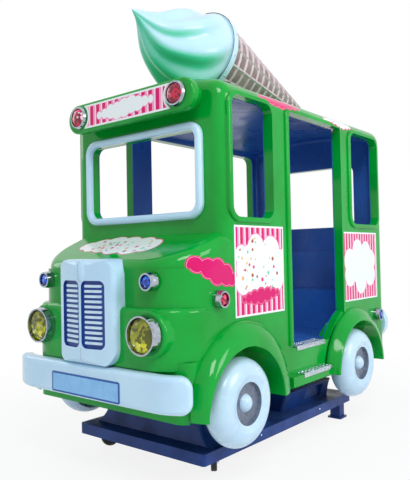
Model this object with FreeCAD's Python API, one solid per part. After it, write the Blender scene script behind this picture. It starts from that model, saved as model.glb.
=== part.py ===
# Coin-operated rocking ride for small children, in the form of an ice cream truck.
# Millimetres. Front faces -Y, the truck's left is +X, up is +Z, the floor is Z = 0.
import FreeCAD, Part
import math
import os

os.makedirs("parts", exist_ok=True)

V = FreeCAD.Vector

# Driving dimensions, fitting clearances first
GAP = 0.3
RUN = 0.25

# Cab shell
SIDE_X = 450.0
CAB_FRONT = -660.0
CAB_REAR = 868.0
BODY_LOW = 302.0
ROOF_TOP = 1648.0
ROOF_CROWN_R = 1750.0
ROOF_EDGE_R = 85.0
CORNER_R = 60.0
WALL = 34.0
ROOF_SPLIT = 1566.0
LINER = 5.0
FLOOR_TOP = 470.0
FLOOR_T = 12.0

# Openings in the cab, along Y and Z
WIN_LOW = 1047.0
WIN_TOP = 1537.0
WIN_R = 46.0
FRONT_WIN = (-607.0, -318.0)
DOORWAY = (-179.0, 323.0)
REAR_WIN = (446.0, 782.0)
SCREEN_HALF = 322.0
SCREEN_LOW = 1074.0
SCREEN_TOP = 1405.0
SCREEN_R = 40.0
BACK_HALF = 290.0
BACK_LOW = 1050.0
BACK_TOP = 1416.0
BEAD_W = 22.0
BEAD_H = 11.0
FRAME_W = 32.0
FRAME_H = 24.0

# Wheels and arches
AXLE_FRONT = -597.5
AXLE_REAR = 412.5
HUB_Z = 320.0
WHEEL_R = 175.0
WHEEL_X = 455.0
TYRE_R = 64.0
RIM_R = 83.0
CAP_R = 36.0
STUB_R = 12.0
ARCH_Z = 287.0
ARCH_LIP_R = 252.0
ARCH_REAR = (38.0, 287.0, 318.0)
ARCH_FRONT = (45.0, 310.0, 325.0)
ARCH_LIP_X = 517.0
ARCH_IN_X = 366.0
ARCH_T = 6.0
ARCH_SKIN = 9.0
ARCH_SKIN_SHIFT = -7.0
ARCH_LIP_DEEP = 18.0
ARCH_LIP_SOFT = 1.8
ARCH_CUT_R = 300.0

# Nose
NOSE_LOW = 290.0
NOSE_FRONT = -946.0
NOSE_BACK = CAB_FRONT + 48.0
MARKER_SET = 27.0
VALANCE_Y = -893.0
VALANCE_Z = 480.0
VALANCE_R = 60.0
NOSE_STEP_Z = 706.0
NOSE_MID_Z = 850.0
COWL_Z = 985.0
BONNET_FRONT_Z = 872.0
LAMP_TIER_R = 170.0
LAMP_TIER_SOFT = 22.0
MARKER_TIER_R = 190.0
BONNET_R = 215.0
BONNET_SOFT = 50.0
POD_R = 90.0
POD_BACK = -800.0
POD_SOFT = 12.0
NOSE_T = 9.0
NOSE_ARCH_R = ARCH_LIP_R + ARCH_T + 12.0

# Base
TRAY_X = 374.0
TRAY_Y = (-715.0, 545.0)
TRAY_LOW = 81.5
TRAY_TOP = 128.5
SHEET = 4.0
PIVOT_Y = 195.0
PIVOT_Z = 262.0
PIVOT_R = 14.0
RAIL_Z = (298.0, 342.0)
RAIL_X = 250.0
RAIL_W = 50.0
RAIL_FRONT = VALANCE_Y + 43.0
RAIL_REAR = CAB_REAR - 38.0
MEMBER_HALF = 20.0
BEARER_HALF = 348.0
BEARERS = (-560.0, -180.0, 230.0, 640.0)
BEARER_H = 40.0
EAR_X = 205.0
EAR_R = 26.0

# Rear bench, front bench
BENCH_Y = 475.0
BENCH_TOP = 684.0
BENCH_LEDGE = 905.0
FRONT_BENCH = (-330.0, -200.0)

# Roof cone, on a tilted axis in the middle plane
CONE_Y = -236.0
CONE_Z = 1897.0
CONE_TILT = 9.0
CONE_R = 206.0
CONE_L = 1190.0
CONE_END = CONE_L - 75.0
CONE_TAPER = (CONE_R - 5.0) / CONE_L

# Legs, castors and housings
LEG_X = 328.0
LEG_Y = 475.0
LEG_W = 58.0
FOOT_T = 8.0
FOOT_HALF = 40.0
CASTOR_X = 300.0
CASTOR_Y = -565.0
CASTOR_R = 42.0
CASTOR_TRAIL = 26.0
CASTOR_TURN = (40.0, 130.0)
PEDESTAL_TOP = 225.0
PEDESTAL_T = 5.0
PEDESTAL_HALF = 350.0
PEDESTAL_Y = (-640.0, -200.0)
PEDESTAL_FLARE = [(0.0, 0.0, 0.0), (22.0, 32.0, 6.0), (55.0, 56.0, 12.0)]
PEDESTAL_NECK = (70.0, 16.0)
HOUSING_LEVELS = [(0.0, 300.0, -30.0, 430.0), (50.0, 312.0, -22.0, 422.0)]
HOUSING_NECK = (330.0, -14.0, 414.0)
HATCH_Y = (165.0, 335.0)
HATCH_IN = 14.0
MOTOR = (230.0, 180.0, 78.0)
MOTOR_Y = -430.0
HOUSING_TOP = 222.0

# Step and treads
STEP_X = 486.0
STEP_TOP = 352.0
STEP_Y = (-260.0, 160.0)
TREAD_Y = (-140.0, 130.0)

# Sign board and striped panels
SIGN_Y = -753.0
SIGN_HALF = 385.0
SIGN_Z = (1465.0, 1597.0)
PANEL_T = 2.0
SIDE_PANEL_1 = (-597.0, -237.0, 645.0, 1014.0)
SIDE_PANEL_2 = (347.0, 760.0, 638.0, 1003.0)

# Lamps
HEAD_X = 310.5
HEAD_Z = 611.0
HEAD_R = 75.0
HEAD_T = 40.0
BLUE_X = 310.0
BLUE_Z = 803.0
LAMP_R = 36.0
LAMP_T = 33.0
LAMP_CROWN = 0.4
SIDE_BLUE = (735.0, 541.0)
SIDE_RED = (-705.0, 728.0)
SIGN_LAMP_X = 298.0
SIGN_LAMP_Z = 1533.0
SIGN_LAMP_R = 51.0
SIGN_LAMP_T = 16.0

# Grille: shield, its two pockets, the bars and the crest over them
GRILLE_HALF = 166.0
GRILLE_RIDGE = -1004.0
GRILLE_EDGE = -975.0
GRILLE_LOW = 478.0
GRILLE_TOP = 890.0
GRILLE_R = 70.0
GRILLE_SOFT = 25.0
GRILLE_BROW_R = 40.0
BROW_AHEAD = 2.0
BARS_Y = -980.0
PANEL_DEEP = 6.0
BAR_DEEP = 8.0
POCKET_X = (7.0, 125.5)
POCKET_Z = (545.0, 806.0)
POCKET_R = 25.0
POCKET_Y = BARS_Y + PANEL_DEEP + BAR_DEEP
BAR_X = (12.0, 97.0)
BAR_H = 10.0
BARS = 12
CREST_HALF = 33.0
CREST_Z = (806.0, 882.0)
CREST_OUT = 10.0
CREST_SINK = 2.5
CREST_CROWN = 7.0

# Bumpers and plate
BUMPER_Y = -958.0
BUMPER_STRAIGHT = 360.0
BUMPER_HALF = 488.0
BUMPER_END_Y = -905.0
BUMPER_D = 60.0
BUMPER_Z = (342.0, 477.0)
BUMPER_END_R = 45.0
BUMPER_SOFT = 20.0
STAND_OFF = (30.0, 395.0, 430.0)
REAR_BUMPER_HALF = 448.0
REAR_BUMPER_D = 66.0
REAR_BUMPER_Z = (375.0, 585.0)
PLATE_HALF = 204.0
PLATE_Z = (353.0, 434.0)
PLATE_T = 2.0

# Middle of the ride's outline, front crest to rear bumper, which becomes Y = 0
ORIGIN_Y = -(GRILLE_RIDGE - CREST_OUT + CAB_REAR + GAP + REAR_BUMPER_D) / 2.0

# Saddles under the cone: place, half width and height before trimming
CRADLES = [(-170.0, 120.0, 1760.0), (520.0, 60.0, 1772.0)]

# Cream swirl sections: distance in front of the ring, outline radius, lobe depth, turn, drop
COLLAR_W = 34.0
CONE_T = 5.0
CREAM_T = 7.0
LOBES = 7
SWIRL = [(1.0, 196.0, 0.015, 0.0, 0.0),
         (60.0, 211.0, 0.06, 0.09, 11.0),
         (134.0, 215.0, 0.10, 0.24, 41.0),
         (235.0, 190.0, 0.12, 0.49, 70.0),
         (318.0, 150.0, 0.12, 0.77, 80.0),
         (390.0, 100.0, 0.11, 1.07, 60.0),
         (440.0, 50.0, 0.08, 1.32, 28.0),
         (465.0, 18.0, 0.03, 1.46, 8.0),
         (474.0, 3.0, 0.0, 1.5, 0.0)]


def box(x0, x1, y0, y1, z0, z1):
    return Part.makeBox(x1 - x0, y1 - y0, z1 - z0, V(x0, y0, z0))


def cyl(r, x, y, z, length, axis):
    return Part.makeCylinder(r, length, V(x, y, z), axis)


def edges_along(shape, axis):
    found = []
    for edge in shape.Edges:
        if len(edge.Vertexes) == 2 and edge.Curve.TypeId == "Part::GeomLine":
            run = edge.Vertexes[1].Point.sub(edge.Vertexes[0].Point).normalize()
            if abs(abs(run.dot(axis)) - 1.0) < 1e-6:
                found.append(edge)
    return found


def rounded(x0, x1, y0, y1, z0, z1, r, axis):
    # Box with the four edges along one axis rounded
    block = box(x0, x1, y0, y1, z0, z1)
    return block.makeFillet(r, edges_along(block, axis))


def edges_at(shape, axis, value, tol=0.01):
    # Every edge that lies in the plane where one coordinate has this value
    found = []
    for edge in shape.Edges:
        box_of = edge.BoundBox
        low = (box_of.XMin, box_of.YMin, box_of.ZMin)[axis]
        high = (box_of.XMax, box_of.YMax, box_of.ZMax)[axis]
        if abs(low - value) < tol and abs(high - value) < tol:
            found.append(edge)
    return found


def both_sides(shape):
    return Part.makeCompound([shape, mirrored(shape)])


def mirrored(shape):
    return shape.mirror(V(0, 0, 0), V(1, 0, 0))


def face_of(points):
    return Part.Face(Part.makePolygon([V(*p) for p in points + points[:1]]))


def fused(shapes):
    whole = shapes[0]
    for shape in shapes[1:]:
        whole = whole.fuse(shape)
    return whole.removeSplitter()


def cab_solid(inset, low):
    # Outside of the cab, or the same form drawn in by a wall: crowned roof section run along Y
    half = SIDE_X - inset
    shoulder = ROOF_EDGE_R - inset
    y0, y1 = CAB_FRONT + inset, CAB_REAR - inset
    crown_r = ROOF_CROWN_R - inset
    zc = ROOF_TOP - ROOF_CROWN_R
    xk = half - shoulder
    zk = zc + math.sqrt((crown_r - shoulder) ** 2 - xk ** 2)
    ux, uz = xk / (crown_r - shoulder), (zk - zc) / (crown_r - shoulder)
    tip = V(ux * crown_r, y0, zc + uz * crown_r)
    bend = V(xk + shoulder * math.cos(0.7), y0, zk + shoulder * math.sin(0.7))
    edges = [Part.makeLine(V(half, y0, low), V(half, y0, zk)),
             Part.Arc(V(half, y0, zk), bend, tip).toShape(),
             Part.Arc(tip, V(0, y0, ROOF_TOP - inset), V(-tip.x, y0, tip.z)).toShape(),
             Part.Arc(V(-tip.x, y0, tip.z), V(-bend.x, y0, bend.z), V(-half, y0, zk)).toShape(),
             Part.makeLine(V(-half, y0, zk), V(-half, y0, low)),
             Part.makeLine(V(-half, y0, low), V(half, y0, low))]
    block = Part.Face(Part.Wire(edges)).extrude(V(0, y1 - y0, 0))
    ends = [e for y in (y0, y1) for e in edges_at(block, 1, y) if e.BoundBox.ZMax > low + 1.0]
    return block.makeFillet(max(CORNER_R - inset, 8.0), ends)


def window_cut(span, low, top, r):
    return rounded(SIDE_X - 90.0, SIDE_X + 40.0, span[0], span[1], low, top, r, V(1, 0, 0))


def window_bead(span, low, top, r):
    outer = rounded(SIDE_X - 20.0, SIDE_X + BEAD_H, span[0] - BEAD_W, span[1] + BEAD_W,
                    low - BEAD_W, top + BEAD_W, r + BEAD_W, V(1, 0, 0))
    outer = outer.makeFillet(8.5, edges_at(outer, 0, SIDE_X + BEAD_H))
    return outer.cut(window_cut(span, low, top, r))


def arch_cut(axle, r):
    return cyl(r, ARCH_IN_X - 30.0, axle, ARCH_Z, 200.0, V(1, 0, 0))


def flare_cut(axle, flare, grow):
    # Cylinder that follows the outer edge of an arch
    shift, centre_z, out_r = flare
    return cyl(out_r + grow, ARCH_IN_X - 30.0, axle + shift, centre_z, 200.0, V(1, 0, 0))


def doorway_cut():
    hole = window_cut(DOORWAY, FLOOR_TOP, WIN_TOP, 20.0)
    return hole.cut(flare_cut(AXLE_REAR, ARCH_REAR, 16.0))


def doorway_bead():
    bead = window_bead(DOORWAY, FLOOR_TOP, WIN_TOP, 20.0)
    bead = bead.cut(box(0.0, 600.0, -400.0, 400.0, 300.0, FLOOR_TOP + 14.0))
    return bead.cut(flare_cut(AXLE_REAR, ARCH_REAR, 10.0))


def cab_shell():
    return cab_solid(0.0, BODY_LOW).cut(cab_solid(WALL, BODY_LOW - 20.0))


def side_wall(shell):
    # Left side from the front wall to the rear wall, with its window lips
    part = box(SIDE_X - WALL, SIDE_X + 1.0, CAB_FRONT + WALL, CAB_REAR - WALL,
               BODY_LOW, ROOF_SPLIT)
    wall = shell.common(part)
    wall = fused([wall, window_bead(FRONT_WIN, WIN_LOW, WIN_TOP, WIN_R),
                  window_bead(REAR_WIN, WIN_LOW, WIN_TOP, WIN_R), doorway_bead()])
    wall = wall.cut(window_cut(FRONT_WIN, WIN_LOW, WIN_TOP, WIN_R))
    wall = wall.cut(window_cut(REAR_WIN, WIN_LOW, WIN_TOP, WIN_R))
    wall = wall.cut(doorway_cut())
    wall = wall.cut(box(0.0, 600.0, CAB_FRONT, CAB_REAR, ROOF_SPLIT, ROOF_SPLIT + 60.0))
    for axle in (AXLE_FRONT, AXLE_REAR):
        wall = wall.cut(arch_cut(axle, ARCH_CUT_R))
    return wall


def front_wall(shell):
    part = box(-SIDE_X - 1.0, SIDE_X + 1.0, CAB_FRONT - 1.0, CAB_FRONT + WALL,
               FLOOR_TOP - FLOOR_T, ROOF_SPLIT)
    hole = rounded(-SCREEN_HALF, SCREEN_HALF, CAB_FRONT - 50.0, CAB_FRONT + 90.0,
                   SCREEN_LOW, SCREEN_TOP, SCREEN_R, V(0, 1, 0))
    wall = shell.common(part).cut(hole)
    lip = window_bead(FRONT_WIN, WIN_LOW, WIN_TOP, WIN_R)
    wall = wall.cut(lip).cut(mirrored(lip))
    for side in (1, -1):
        wall = wall.cut(cyl(ARCH_CUT_R, side * (ARCH_IN_X - 30.0), AXLE_FRONT, ARCH_Z,
                            200.0, V(side, 0, 0)))
    return wall


def rear_wall(shell):
    part = box(-SIDE_X - 1.0, SIDE_X + 1.0, CAB_REAR - WALL, CAB_REAR + 1.0,
               BODY_LOW, ROOF_SPLIT)
    hole = rounded(-BACK_HALF, BACK_HALF, CAB_REAR - 90.0, CAB_REAR + 50.0,
                   BACK_LOW, BACK_TOP, SCREEN_R, V(0, 1, 0))
    return shell.common(part).cut(hole)


def roof_shell(shell):
    part = box(-SIDE_X - 1.0, SIDE_X + 1.0, CAB_FRONT - 1.0, CAB_REAR + 1.0,
               ROOF_SPLIT, ROOF_TOP + 1.0)
    return shell.common(part)


def disc_loft(stations, grow):
    # Solid lofted through circles: (x, centre y, centre z, radius)
    wires = []
    for x, y, z, r in stations:
        wires.append(Part.Wire(Part.Circle(V(x, y, z), V(1, 0, 0), r + grow).toShape()))
    return Part.makeLoft(wires, True, False)


def wheel_arch(axle, flare):
    # Flared arch, crowned outside and hollow, with the tube and disc behind the wheel
    shift, centre_z, out_r = flare
    stations = [(SIDE_X + GAP, axle + shift, centre_z, out_r),
                (SIDE_X + 22.0, axle + shift * 0.9, centre_z, out_r - 9.0),
                (SIDE_X + 44.0, axle + shift * 0.62, centre_z - 4.0, out_r - 27.0),
                (SIDE_X + 59.0, axle + shift * 0.3, centre_z - 8.0, ARCH_LIP_R + 24.0),
                (ARCH_LIP_X, axle, ARCH_Z, ARCH_LIP_R + ARCH_T)]
    tube_r = ARCH_LIP_R + ARCH_T
    hollow = disc_loft(stations, -ARCH_SKIN)
    hollow.translate(V(ARCH_SKIN_SHIFT, 0, 0))
    hollow = hollow.common(box(SIDE_X - 20.0, ARCH_LIP_X - ARCH_LIP_DEEP, axle - 500.0, axle + 500.0,
                               BODY_LOW + ARCH_T, 900.0))
    hollow = hollow.cut(cyl(tube_r, SIDE_X - 150.0, axle, ARCH_Z, 260.0, V(1, 0, 0)))
    tube = cyl(tube_r, ARCH_IN_X - ARCH_T, axle, ARCH_Z,
               ARCH_LIP_X - ARCH_LIP_DEEP - ARCH_IN_X + ARCH_T, V(1, 0, 0))
    arch = disc_loft(stations, 0.0).cut(hollow).fuse(tube)
    arch = arch.cut(cyl(ARCH_LIP_R, ARCH_IN_X, axle, ARCH_Z, 200.0, V(1, 0, 0)))
    arch = arch.cut(box(0.0, 600.0, axle - 500.0, axle + 500.0, -200.0, BODY_LOW))
    arch = arch.cut(cyl(STUB_R + 10.0, ARCH_IN_X - 30.0, axle, HUB_Z, 60.0, V(1, 0, 0)))
    arch = arch.removeSplitter()
    lip = [e for e in edges_at(arch, 0, ARCH_LIP_X) if e.Length > 100.0]
    return arch.makeChamfer(ARCH_LIP_SOFT, lip)


def nose_block(half, front, low, top, r, soft):
    block = box(-half, half, front, NOSE_BACK, low, top)
    upright = [e for e in edges_along(block, V(0, 0, 1)) if e.BoundBox.YMax < front + 1.0]
    block = block.makeFillet(r, upright)
    if soft:
        top_edges = [e for e in edges_at(block, 2, top) if e.BoundBox.YMin < NOSE_BACK - 2.0]
        block = block.makeFillet(soft, top_edges)
    return block


def bonnet_block(inset):
    # Sloping bonnet, its shoulders rounded
    half = SIDE_X - inset
    front = NOSE_FRONT + MARKER_SET + inset
    back = NOSE_BACK
    low = NOSE_MID_Z - 12.0
    side = face_of([(-half, back, low), (-half, front, low), (-half, front, BONNET_FRONT_Z - inset),
                    (-half, CAB_FRONT, COWL_Z - inset), (-half, back, COWL_Z - inset)])
    block = side.extrude(V(2.0 * half, 0, 0))
    upright = [e for e in edges_along(block, V(0, 0, 1)) if e.BoundBox.YMax < front + 1.0]
    block = block.makeFillet(BONNET_R - inset, upright)
    # Trimmed to a softened twin that reaches lower, so the rounding may be deeper than the front lip
    deep = face_of([(-half, back, low - 120.0), (-half, front, low - 120.0),
                    (-half, front, BONNET_FRONT_Z - inset), (-half, CAB_FRONT, COWL_Z - inset),
                    (-half, back, COWL_Z - inset)])
    twin = deep.extrude(V(2.0 * half, 0, 0))
    upright = [e for e in edges_along(twin, V(0, 0, 1)) if e.BoundBox.YMax < front + 1.0]
    twin = twin.makeFillet(BONNET_R - inset, upright)
    crown = []
    for edge in twin.Edges:
        bb = edge.BoundBox
        flat = abs(bb.YMax - bb.YMin) < 0.1 and bb.YMin > front + 1.0
        if bb.ZMin > low - 100.0 and not flat:
            crown.append(edge)
    return block.common(twin.makeFillet(BONNET_SOFT - inset, crown))


def lamp_pod(side, inset):
    # Round housing that carries a headlight forward out of the nose's rounded corner
    front = NOSE_FRONT + inset
    pod = cyl(POD_R - inset, side * HEAD_X, front, HEAD_Z, POD_BACK - front, V(0, 1, 0))
    return pod.makeFillet(POD_SOFT, edges_at(pod, 1, front))


def nose_solid(inset):
    # Valance behind the bumper, headlight tier with its pods, marker tier and bonnet
    drop = 20.0 if inset else 0.0
    half = SIDE_X - inset
    valance = nose_block(half, VALANCE_Y + inset, NOSE_LOW - drop, VALANCE_Z + 30.0, VALANCE_R - inset, 0.0)
    low = nose_block(half, NOSE_FRONT + inset, VALANCE_Z + inset, NOSE_STEP_Z - inset,
                     LAMP_TIER_R - inset, LAMP_TIER_SOFT - inset)
    mid = nose_block(half, NOSE_FRONT + MARKER_SET + inset, NOSE_STEP_Z - 80.0, NOSE_MID_Z,
                     MARKER_TIER_R - inset, 0.0)
    return fused([valance, low, mid, bonnet_block(inset), lamp_pod(1, inset), lamp_pod(-1, inset)])


def nose_shell():
    skin = nose_solid(0.0).cut(nose_solid(NOSE_T)).cut(cab_solid(-GAP, 0.0))
    for side in (1, -1):
        skin = skin.cut(cyl(NOSE_ARCH_R, side * (ARCH_IN_X - 30.0), AXLE_FRONT, ARCH_Z,
                            200.0, V(side, 0, 0)))
    return max(skin.Solids, key=lambda solid: solid.Volume)


def dome_edge(x0, x1, r, y, z):
    # Quarter section of a round cap, its centre on the axle line
    h = x1 - x0
    ball_r = (r * r + h * h) / (2.0 * h)
    half = math.asin(r / ball_r) / 2.0
    if h > r:
        half = (math.pi - math.asin(r / ball_r)) / 2.0
    mid = V(x1 - ball_r + ball_r * math.cos(half), y, z + ball_r * math.sin(half))
    return Part.Arc(V(x0, y, z + r), mid, V(x1, y, z)).toShape()


def make_wheel(axle, side):
    # White moulded wheel: round tyre, flat rim band, recessed dish and domed cap, open behind
    x = WHEEL_X
    face_x = x + TYRE_R
    z = HUB_Z
    mid_r = WHEEL_R - TYRE_R
    boss_r = STUB_R + 12.0
    t = 7.0
    section = [Part.Arc(V(x - 52.0, axle, z + mid_r + 38.0), V(x, axle, z + WHEEL_R),
                        V(face_x, axle, z + mid_r)).toShape(),
               Part.makeLine(V(face_x, axle, z + mid_r), V(face_x - 10.0, axle, z + RIM_R)),
               Part.makeLine(V(face_x - 10.0, axle, z + RIM_R), V(face_x - 26.0, axle, z + RIM_R - 4.0)),
               Part.makeLine(V(face_x - 26.0, axle, z + RIM_R - 4.0), V(face_x - 30.0, axle, z + CAP_R)),
               dome_edge(face_x - 30.0, face_x - 4.0, CAP_R, axle, z),
               Part.makeLine(V(face_x - 4.0, axle, z), V(face_x - 16.0, axle, z)),
               Part.makeLine(V(face_x - 16.0, axle, z), V(face_x - 16.0, axle, z + STUB_R + RUN)),
               Part.makeLine(V(face_x - 16.0, axle, z + STUB_R + RUN), V(x - 46.0, axle, z + STUB_R + RUN)),
               Part.makeLine(V(x - 46.0, axle, z + STUB_R + RUN), V(x - 46.0, axle, z + boss_r)),
               Part.makeLine(V(x - 46.0, axle, z + boss_r), V(face_x - 40.0, axle, z + boss_r)),
               Part.makeLine(V(face_x - 40.0, axle, z + boss_r), V(face_x - 34.0, axle, z + RIM_R + 2.0)),
               Part.makeLine(V(face_x - 34.0, axle, z + RIM_R + 2.0), V(face_x - 20.0, axle, z + mid_r)),
               Part.Arc(V(face_x - 20.0, axle, z + mid_r), V(x, axle, z + WHEEL_R - t),
                        V(x - 52.0 + t, axle, z + mid_r + 32.0)).toShape(),
               Part.makeLine(V(x - 52.0 + t, axle, z + mid_r + 32.0), V(x - 52.0, axle, z + mid_r + 38.0))]
    wheel = Part.Face(Part.Wire(section)).revolve(V(0, axle, z), V(1, 0, 0), 360.0)
    return wheel if side > 0 else mirrored(wheel)


def rocker_frame():
    # Welded box section frame: two rails, cross members, floor bearers, stub axles and rocker shaft
    parts = []
    z0, z1 = RAIL_Z
    m = MEMBER_HALF
    for side in (1, -1):
        a, b = side * (RAIL_X - RAIL_W / 2.0), side * (RAIL_X + RAIL_W / 2.0)
        parts.append(box(min(a, b), max(a, b), RAIL_FRONT, RAIL_REAR, z0, z1))
    for y in (RAIL_FRONT + m, AXLE_FRONT, BEARERS[1], AXLE_REAR, RAIL_REAR - m):
        parts.append(box(-RAIL_X, RAIL_X, y - m, y + m, z0, z1))
    for y in (AXLE_FRONT, AXLE_REAR):
        for side in (1, -1):
            a, b = side * RAIL_X, side * (ARCH_IN_X - 34.0)
            parts.append(box(min(a, b), max(a, b), y - m, y + m, z0, z1))
            parts.append(cyl(STUB_R, side * (ARCH_IN_X - 40.0), y, HUB_Z,
                             WHEEL_X + TYRE_R - 20.0 - ARCH_IN_X + 40.0, V(side, 0, 0)))
    under = FLOOR_TOP - FLOOR_T
    for y in BEARERS:
        for side in (1, -1):
            x = side * RAIL_X
            parts.append(box(x - 18.0, x + 18.0, y - 18.0, y + 18.0, z1 - 1.0, under - BEARER_H + 2.0))
        parts.append(box(-BEARER_HALF, BEARER_HALF, y - m, y + m, under - BEARER_H, under - GAP))
    for side in (1, -1):
        x = side * EAR_X
        ear = box(x - 6.0, x + 6.0, PIVOT_Y - 32.0, PIVOT_Y + 32.0, PIVOT_Z, z0 + 10.0)
        ear = fused([ear, cyl(EAR_R, x - 6.0, PIVOT_Y, PIVOT_Z, 12.0, V(1, 0, 0))])
        parts.append(ear)
    parts.append(box(-RAIL_X, RAIL_X, PIVOT_Y - 32.0, PIVOT_Y + 32.0, z0 + 8.0, z1))
    reach = EAR_X + 10.0
    parts.append(cyl(PIVOT_R, -reach, PIVOT_Y, PIVOT_Z, 2.0 * reach, V(1, 0, 0)))
    return fused(parts)


def cabin_floor():
    inner = SIDE_X - WALL - GAP
    pan = box(-inner, inner, CAB_FRONT + WALL + GAP, CAB_REAR - WALL - GAP,
              FLOOR_TOP - FLOOR_T, FLOOR_TOP)
    for axle in (AXLE_FRONT, AXLE_REAR):
        for side in (1, -1):
            pan = pan.cut(cyl(ARCH_LIP_R + 6.0 + ARCH_T + RUN, side * (ARCH_IN_X - ARCH_T - RUN),
                              axle, ARCH_Z, 120.0, V(side, 0, 0)))
    return pan


def bench(y0, y1, top, ledge):
    # Moulded bench: riser, seat and back rest ledge in one open-backed moulding
    half = SIDE_X - WALL - LINER - 2.0 * GAP
    outline = [(-half, y0, FLOOR_TOP + GAP), (-half, y0 + 12.0, top), (-half, y1 - 60.0, top),
               (-half, y1 - 30.0, ledge), (-half, y1, ledge), (-half, y1, ledge - 12.0),
               (-half, y1 - 18.0, ledge - 12.0), (-half, y1 - 50.0, top - 12.0),
               (-half, y0 + 23.0, top - 12.0), (-half, y0 + 12.0, FLOOR_TOP + GAP)]
    seat = face_of(outline).extrude(V(2.0 * half, 0, 0))
    return seat.common(cab_solid(WALL + LINER + 2.0 * GAP, BODY_LOW))


def rear_bench():
    seat = bench(BENCH_Y, CAB_REAR - WALL - LINER - 2.0 * GAP, BENCH_TOP, BENCH_LEDGE)
    for side in (1, -1):
        seat = seat.cut(cyl(ARCH_LIP_R + 6.0 + ARCH_T + RUN, side * (ARCH_IN_X - ARCH_T - RUN),
                            AXLE_REAR, ARCH_Z, 120.0, V(side, 0, 0)))
    return seat


def front_bench():
    half = SIDE_X - WALL - LINER - 2.0 * GAP
    y0, y1 = FRONT_BENCH
    outline = [(-half, y0, FLOOR_TOP + GAP), (-half, y0 + 10.0, BENCH_TOP), (-half, y1, BENCH_TOP),
               (-half, y1, BENCH_TOP - 12.0), (-half, y0 + 22.0, BENCH_TOP - 12.0),
               (-half, y0 + 12.0, FLOOR_TOP + GAP)]
    seat = face_of(outline).extrude(V(2.0 * half, 0, 0))
    back = face_of([(-half, y1 - 12.0, BENCH_TOP - 12.0), (-half, y1, BENCH_TOP - 12.0),
                    (-half, y1, FLOOR_TOP + GAP), (-half, y1 - 12.0, FLOOR_TOP + GAP)])
    return fused([seat, back.extrude(V(2.0 * half, 0, 0))])


def cab_liner():
    # Inner skin on the walls and the ceiling, cut out at every window and doorway
    lift = WALL + GAP
    skin = cab_solid(lift, FLOOR_TOP + GAP).cut(cab_solid(lift + LINER, FLOOR_TOP - 10.0))
    cuts = [window_cut(FRONT_WIN, WIN_LOW, WIN_TOP, WIN_R), window_cut(REAR_WIN, WIN_LOW, WIN_TOP, WIN_R),
            doorway_cut()]
    for axle in (AXLE_FRONT, AXLE_REAR):
        cuts.append(cyl(ARCH_LIP_R + 6.0 + ARCH_T + RUN, ARCH_IN_X - 30.0, axle, ARCH_Z, 120.0, V(1, 0, 0)))
    for cut in cuts:
        skin = skin.cut(cut).cut(mirrored(cut))
    skin = skin.cut(rounded(-SCREEN_HALF, SCREEN_HALF, CAB_FRONT - 50.0, CAB_FRONT + 90.0,
                            SCREEN_LOW, SCREEN_TOP, SCREEN_R, V(0, 1, 0)))
    return skin.cut(rounded(-BACK_HALF, BACK_HALF, CAB_REAR - 90.0, CAB_REAR + 50.0,
                            BACK_LOW, BACK_TOP, SCREEN_R, V(0, 1, 0)))


def base_tray():
    # Folded sheet tray, open underneath, with two stiffening channels
    tray = rounded(-TRAY_X, TRAY_X, TRAY_Y[0], TRAY_Y[1], TRAY_LOW, TRAY_TOP, 14.0, V(0, 0, 1))
    inner = rounded(-TRAY_X + SHEET, TRAY_X - SHEET, TRAY_Y[0] + SHEET, TRAY_Y[1] - SHEET,
                    TRAY_LOW - 10.0, TRAY_TOP - SHEET, 10.0, V(0, 0, 1))
    tray = tray.cut(inner)
    ribs = []
    for y in (-340.0, 250.0):
        ribs.append(box(-TRAY_X + 2.0, TRAY_X - 2.0, y - 20.0, y + 20.0, TRAY_TOP - 34.0, TRAY_TOP - 2.0))
    return fused([tray] + ribs)


def rear_legs():
    # Square tube legs at the rear corners with foot plates on the floor
    x, y = LEG_X, LEG_Y
    leg = box(x - LEG_W / 2.0, x + LEG_W / 2.0, y - LEG_W / 2.0, y + LEG_W / 2.0,
              FOOT_T, TRAY_TOP - SHEET - GAP)
    leg = leg.makeFillet(6.0, edges_along(leg, V(0, 0, 1)))
    f = FOOT_HALF
    foot = rounded(x - f, x + f, y - f, y + f, 0.0, FOOT_T, 10.0, V(0, 0, 1))
    return both_sides(fused([leg, foot]))


def loft_box(levels, r):
    # Housing lofted through rounded rectangles: (z, half width, front y, rear y)
    wires = []
    for z, half, y0, y1 in levels:
        slab = rounded(-half, half, y0, y1, z, z + 1.0, r, V(0, 0, 1))
        low = [f for f in slab.Faces if abs(f.CenterOfMass.z - z) < 1e-6][0]
        wires.append(low.OuterWire)
    return Part.makeLoft(wires, True, False)


def pedestal_levels(wall):
    # Rounded outlines of the housing from the tray up, drawn in by a wall
    z0 = TRAY_TOP + GAP - (1.0 if wall else 0.0)
    rows = [(z0 + up, into, back) for up, into, back in PEDESTAL_FLARE]
    rows.append((PEDESTAL_TOP - wall, PEDESTAL_NECK[0], PEDESTAL_NECK[1]))
    return [(z, PEDESTAL_HALF - into - wall, PEDESTAL_Y[0] + back + wall, PEDESTAL_Y[1] - back - wall)
            for z, into, back in rows]


def front_pedestal():
    # Hollow housing over the drive, its sides sweeping out to the tray
    return loft_box(pedestal_levels(0.0), 22.0).cut(loft_box(pedestal_levels(PEDESTAL_T), 18.0))


def drive_motor():
    # Geared motor, as one plain block on the tray
    return box(-MOTOR[0] / 2.0, MOTOR[0] / 2.0, MOTOR_Y - MOTOR[1] / 2.0, MOTOR_Y + MOTOR[1] / 2.0,
               TRAY_TOP + GAP, TRAY_TOP + GAP + MOTOR[2])


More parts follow.
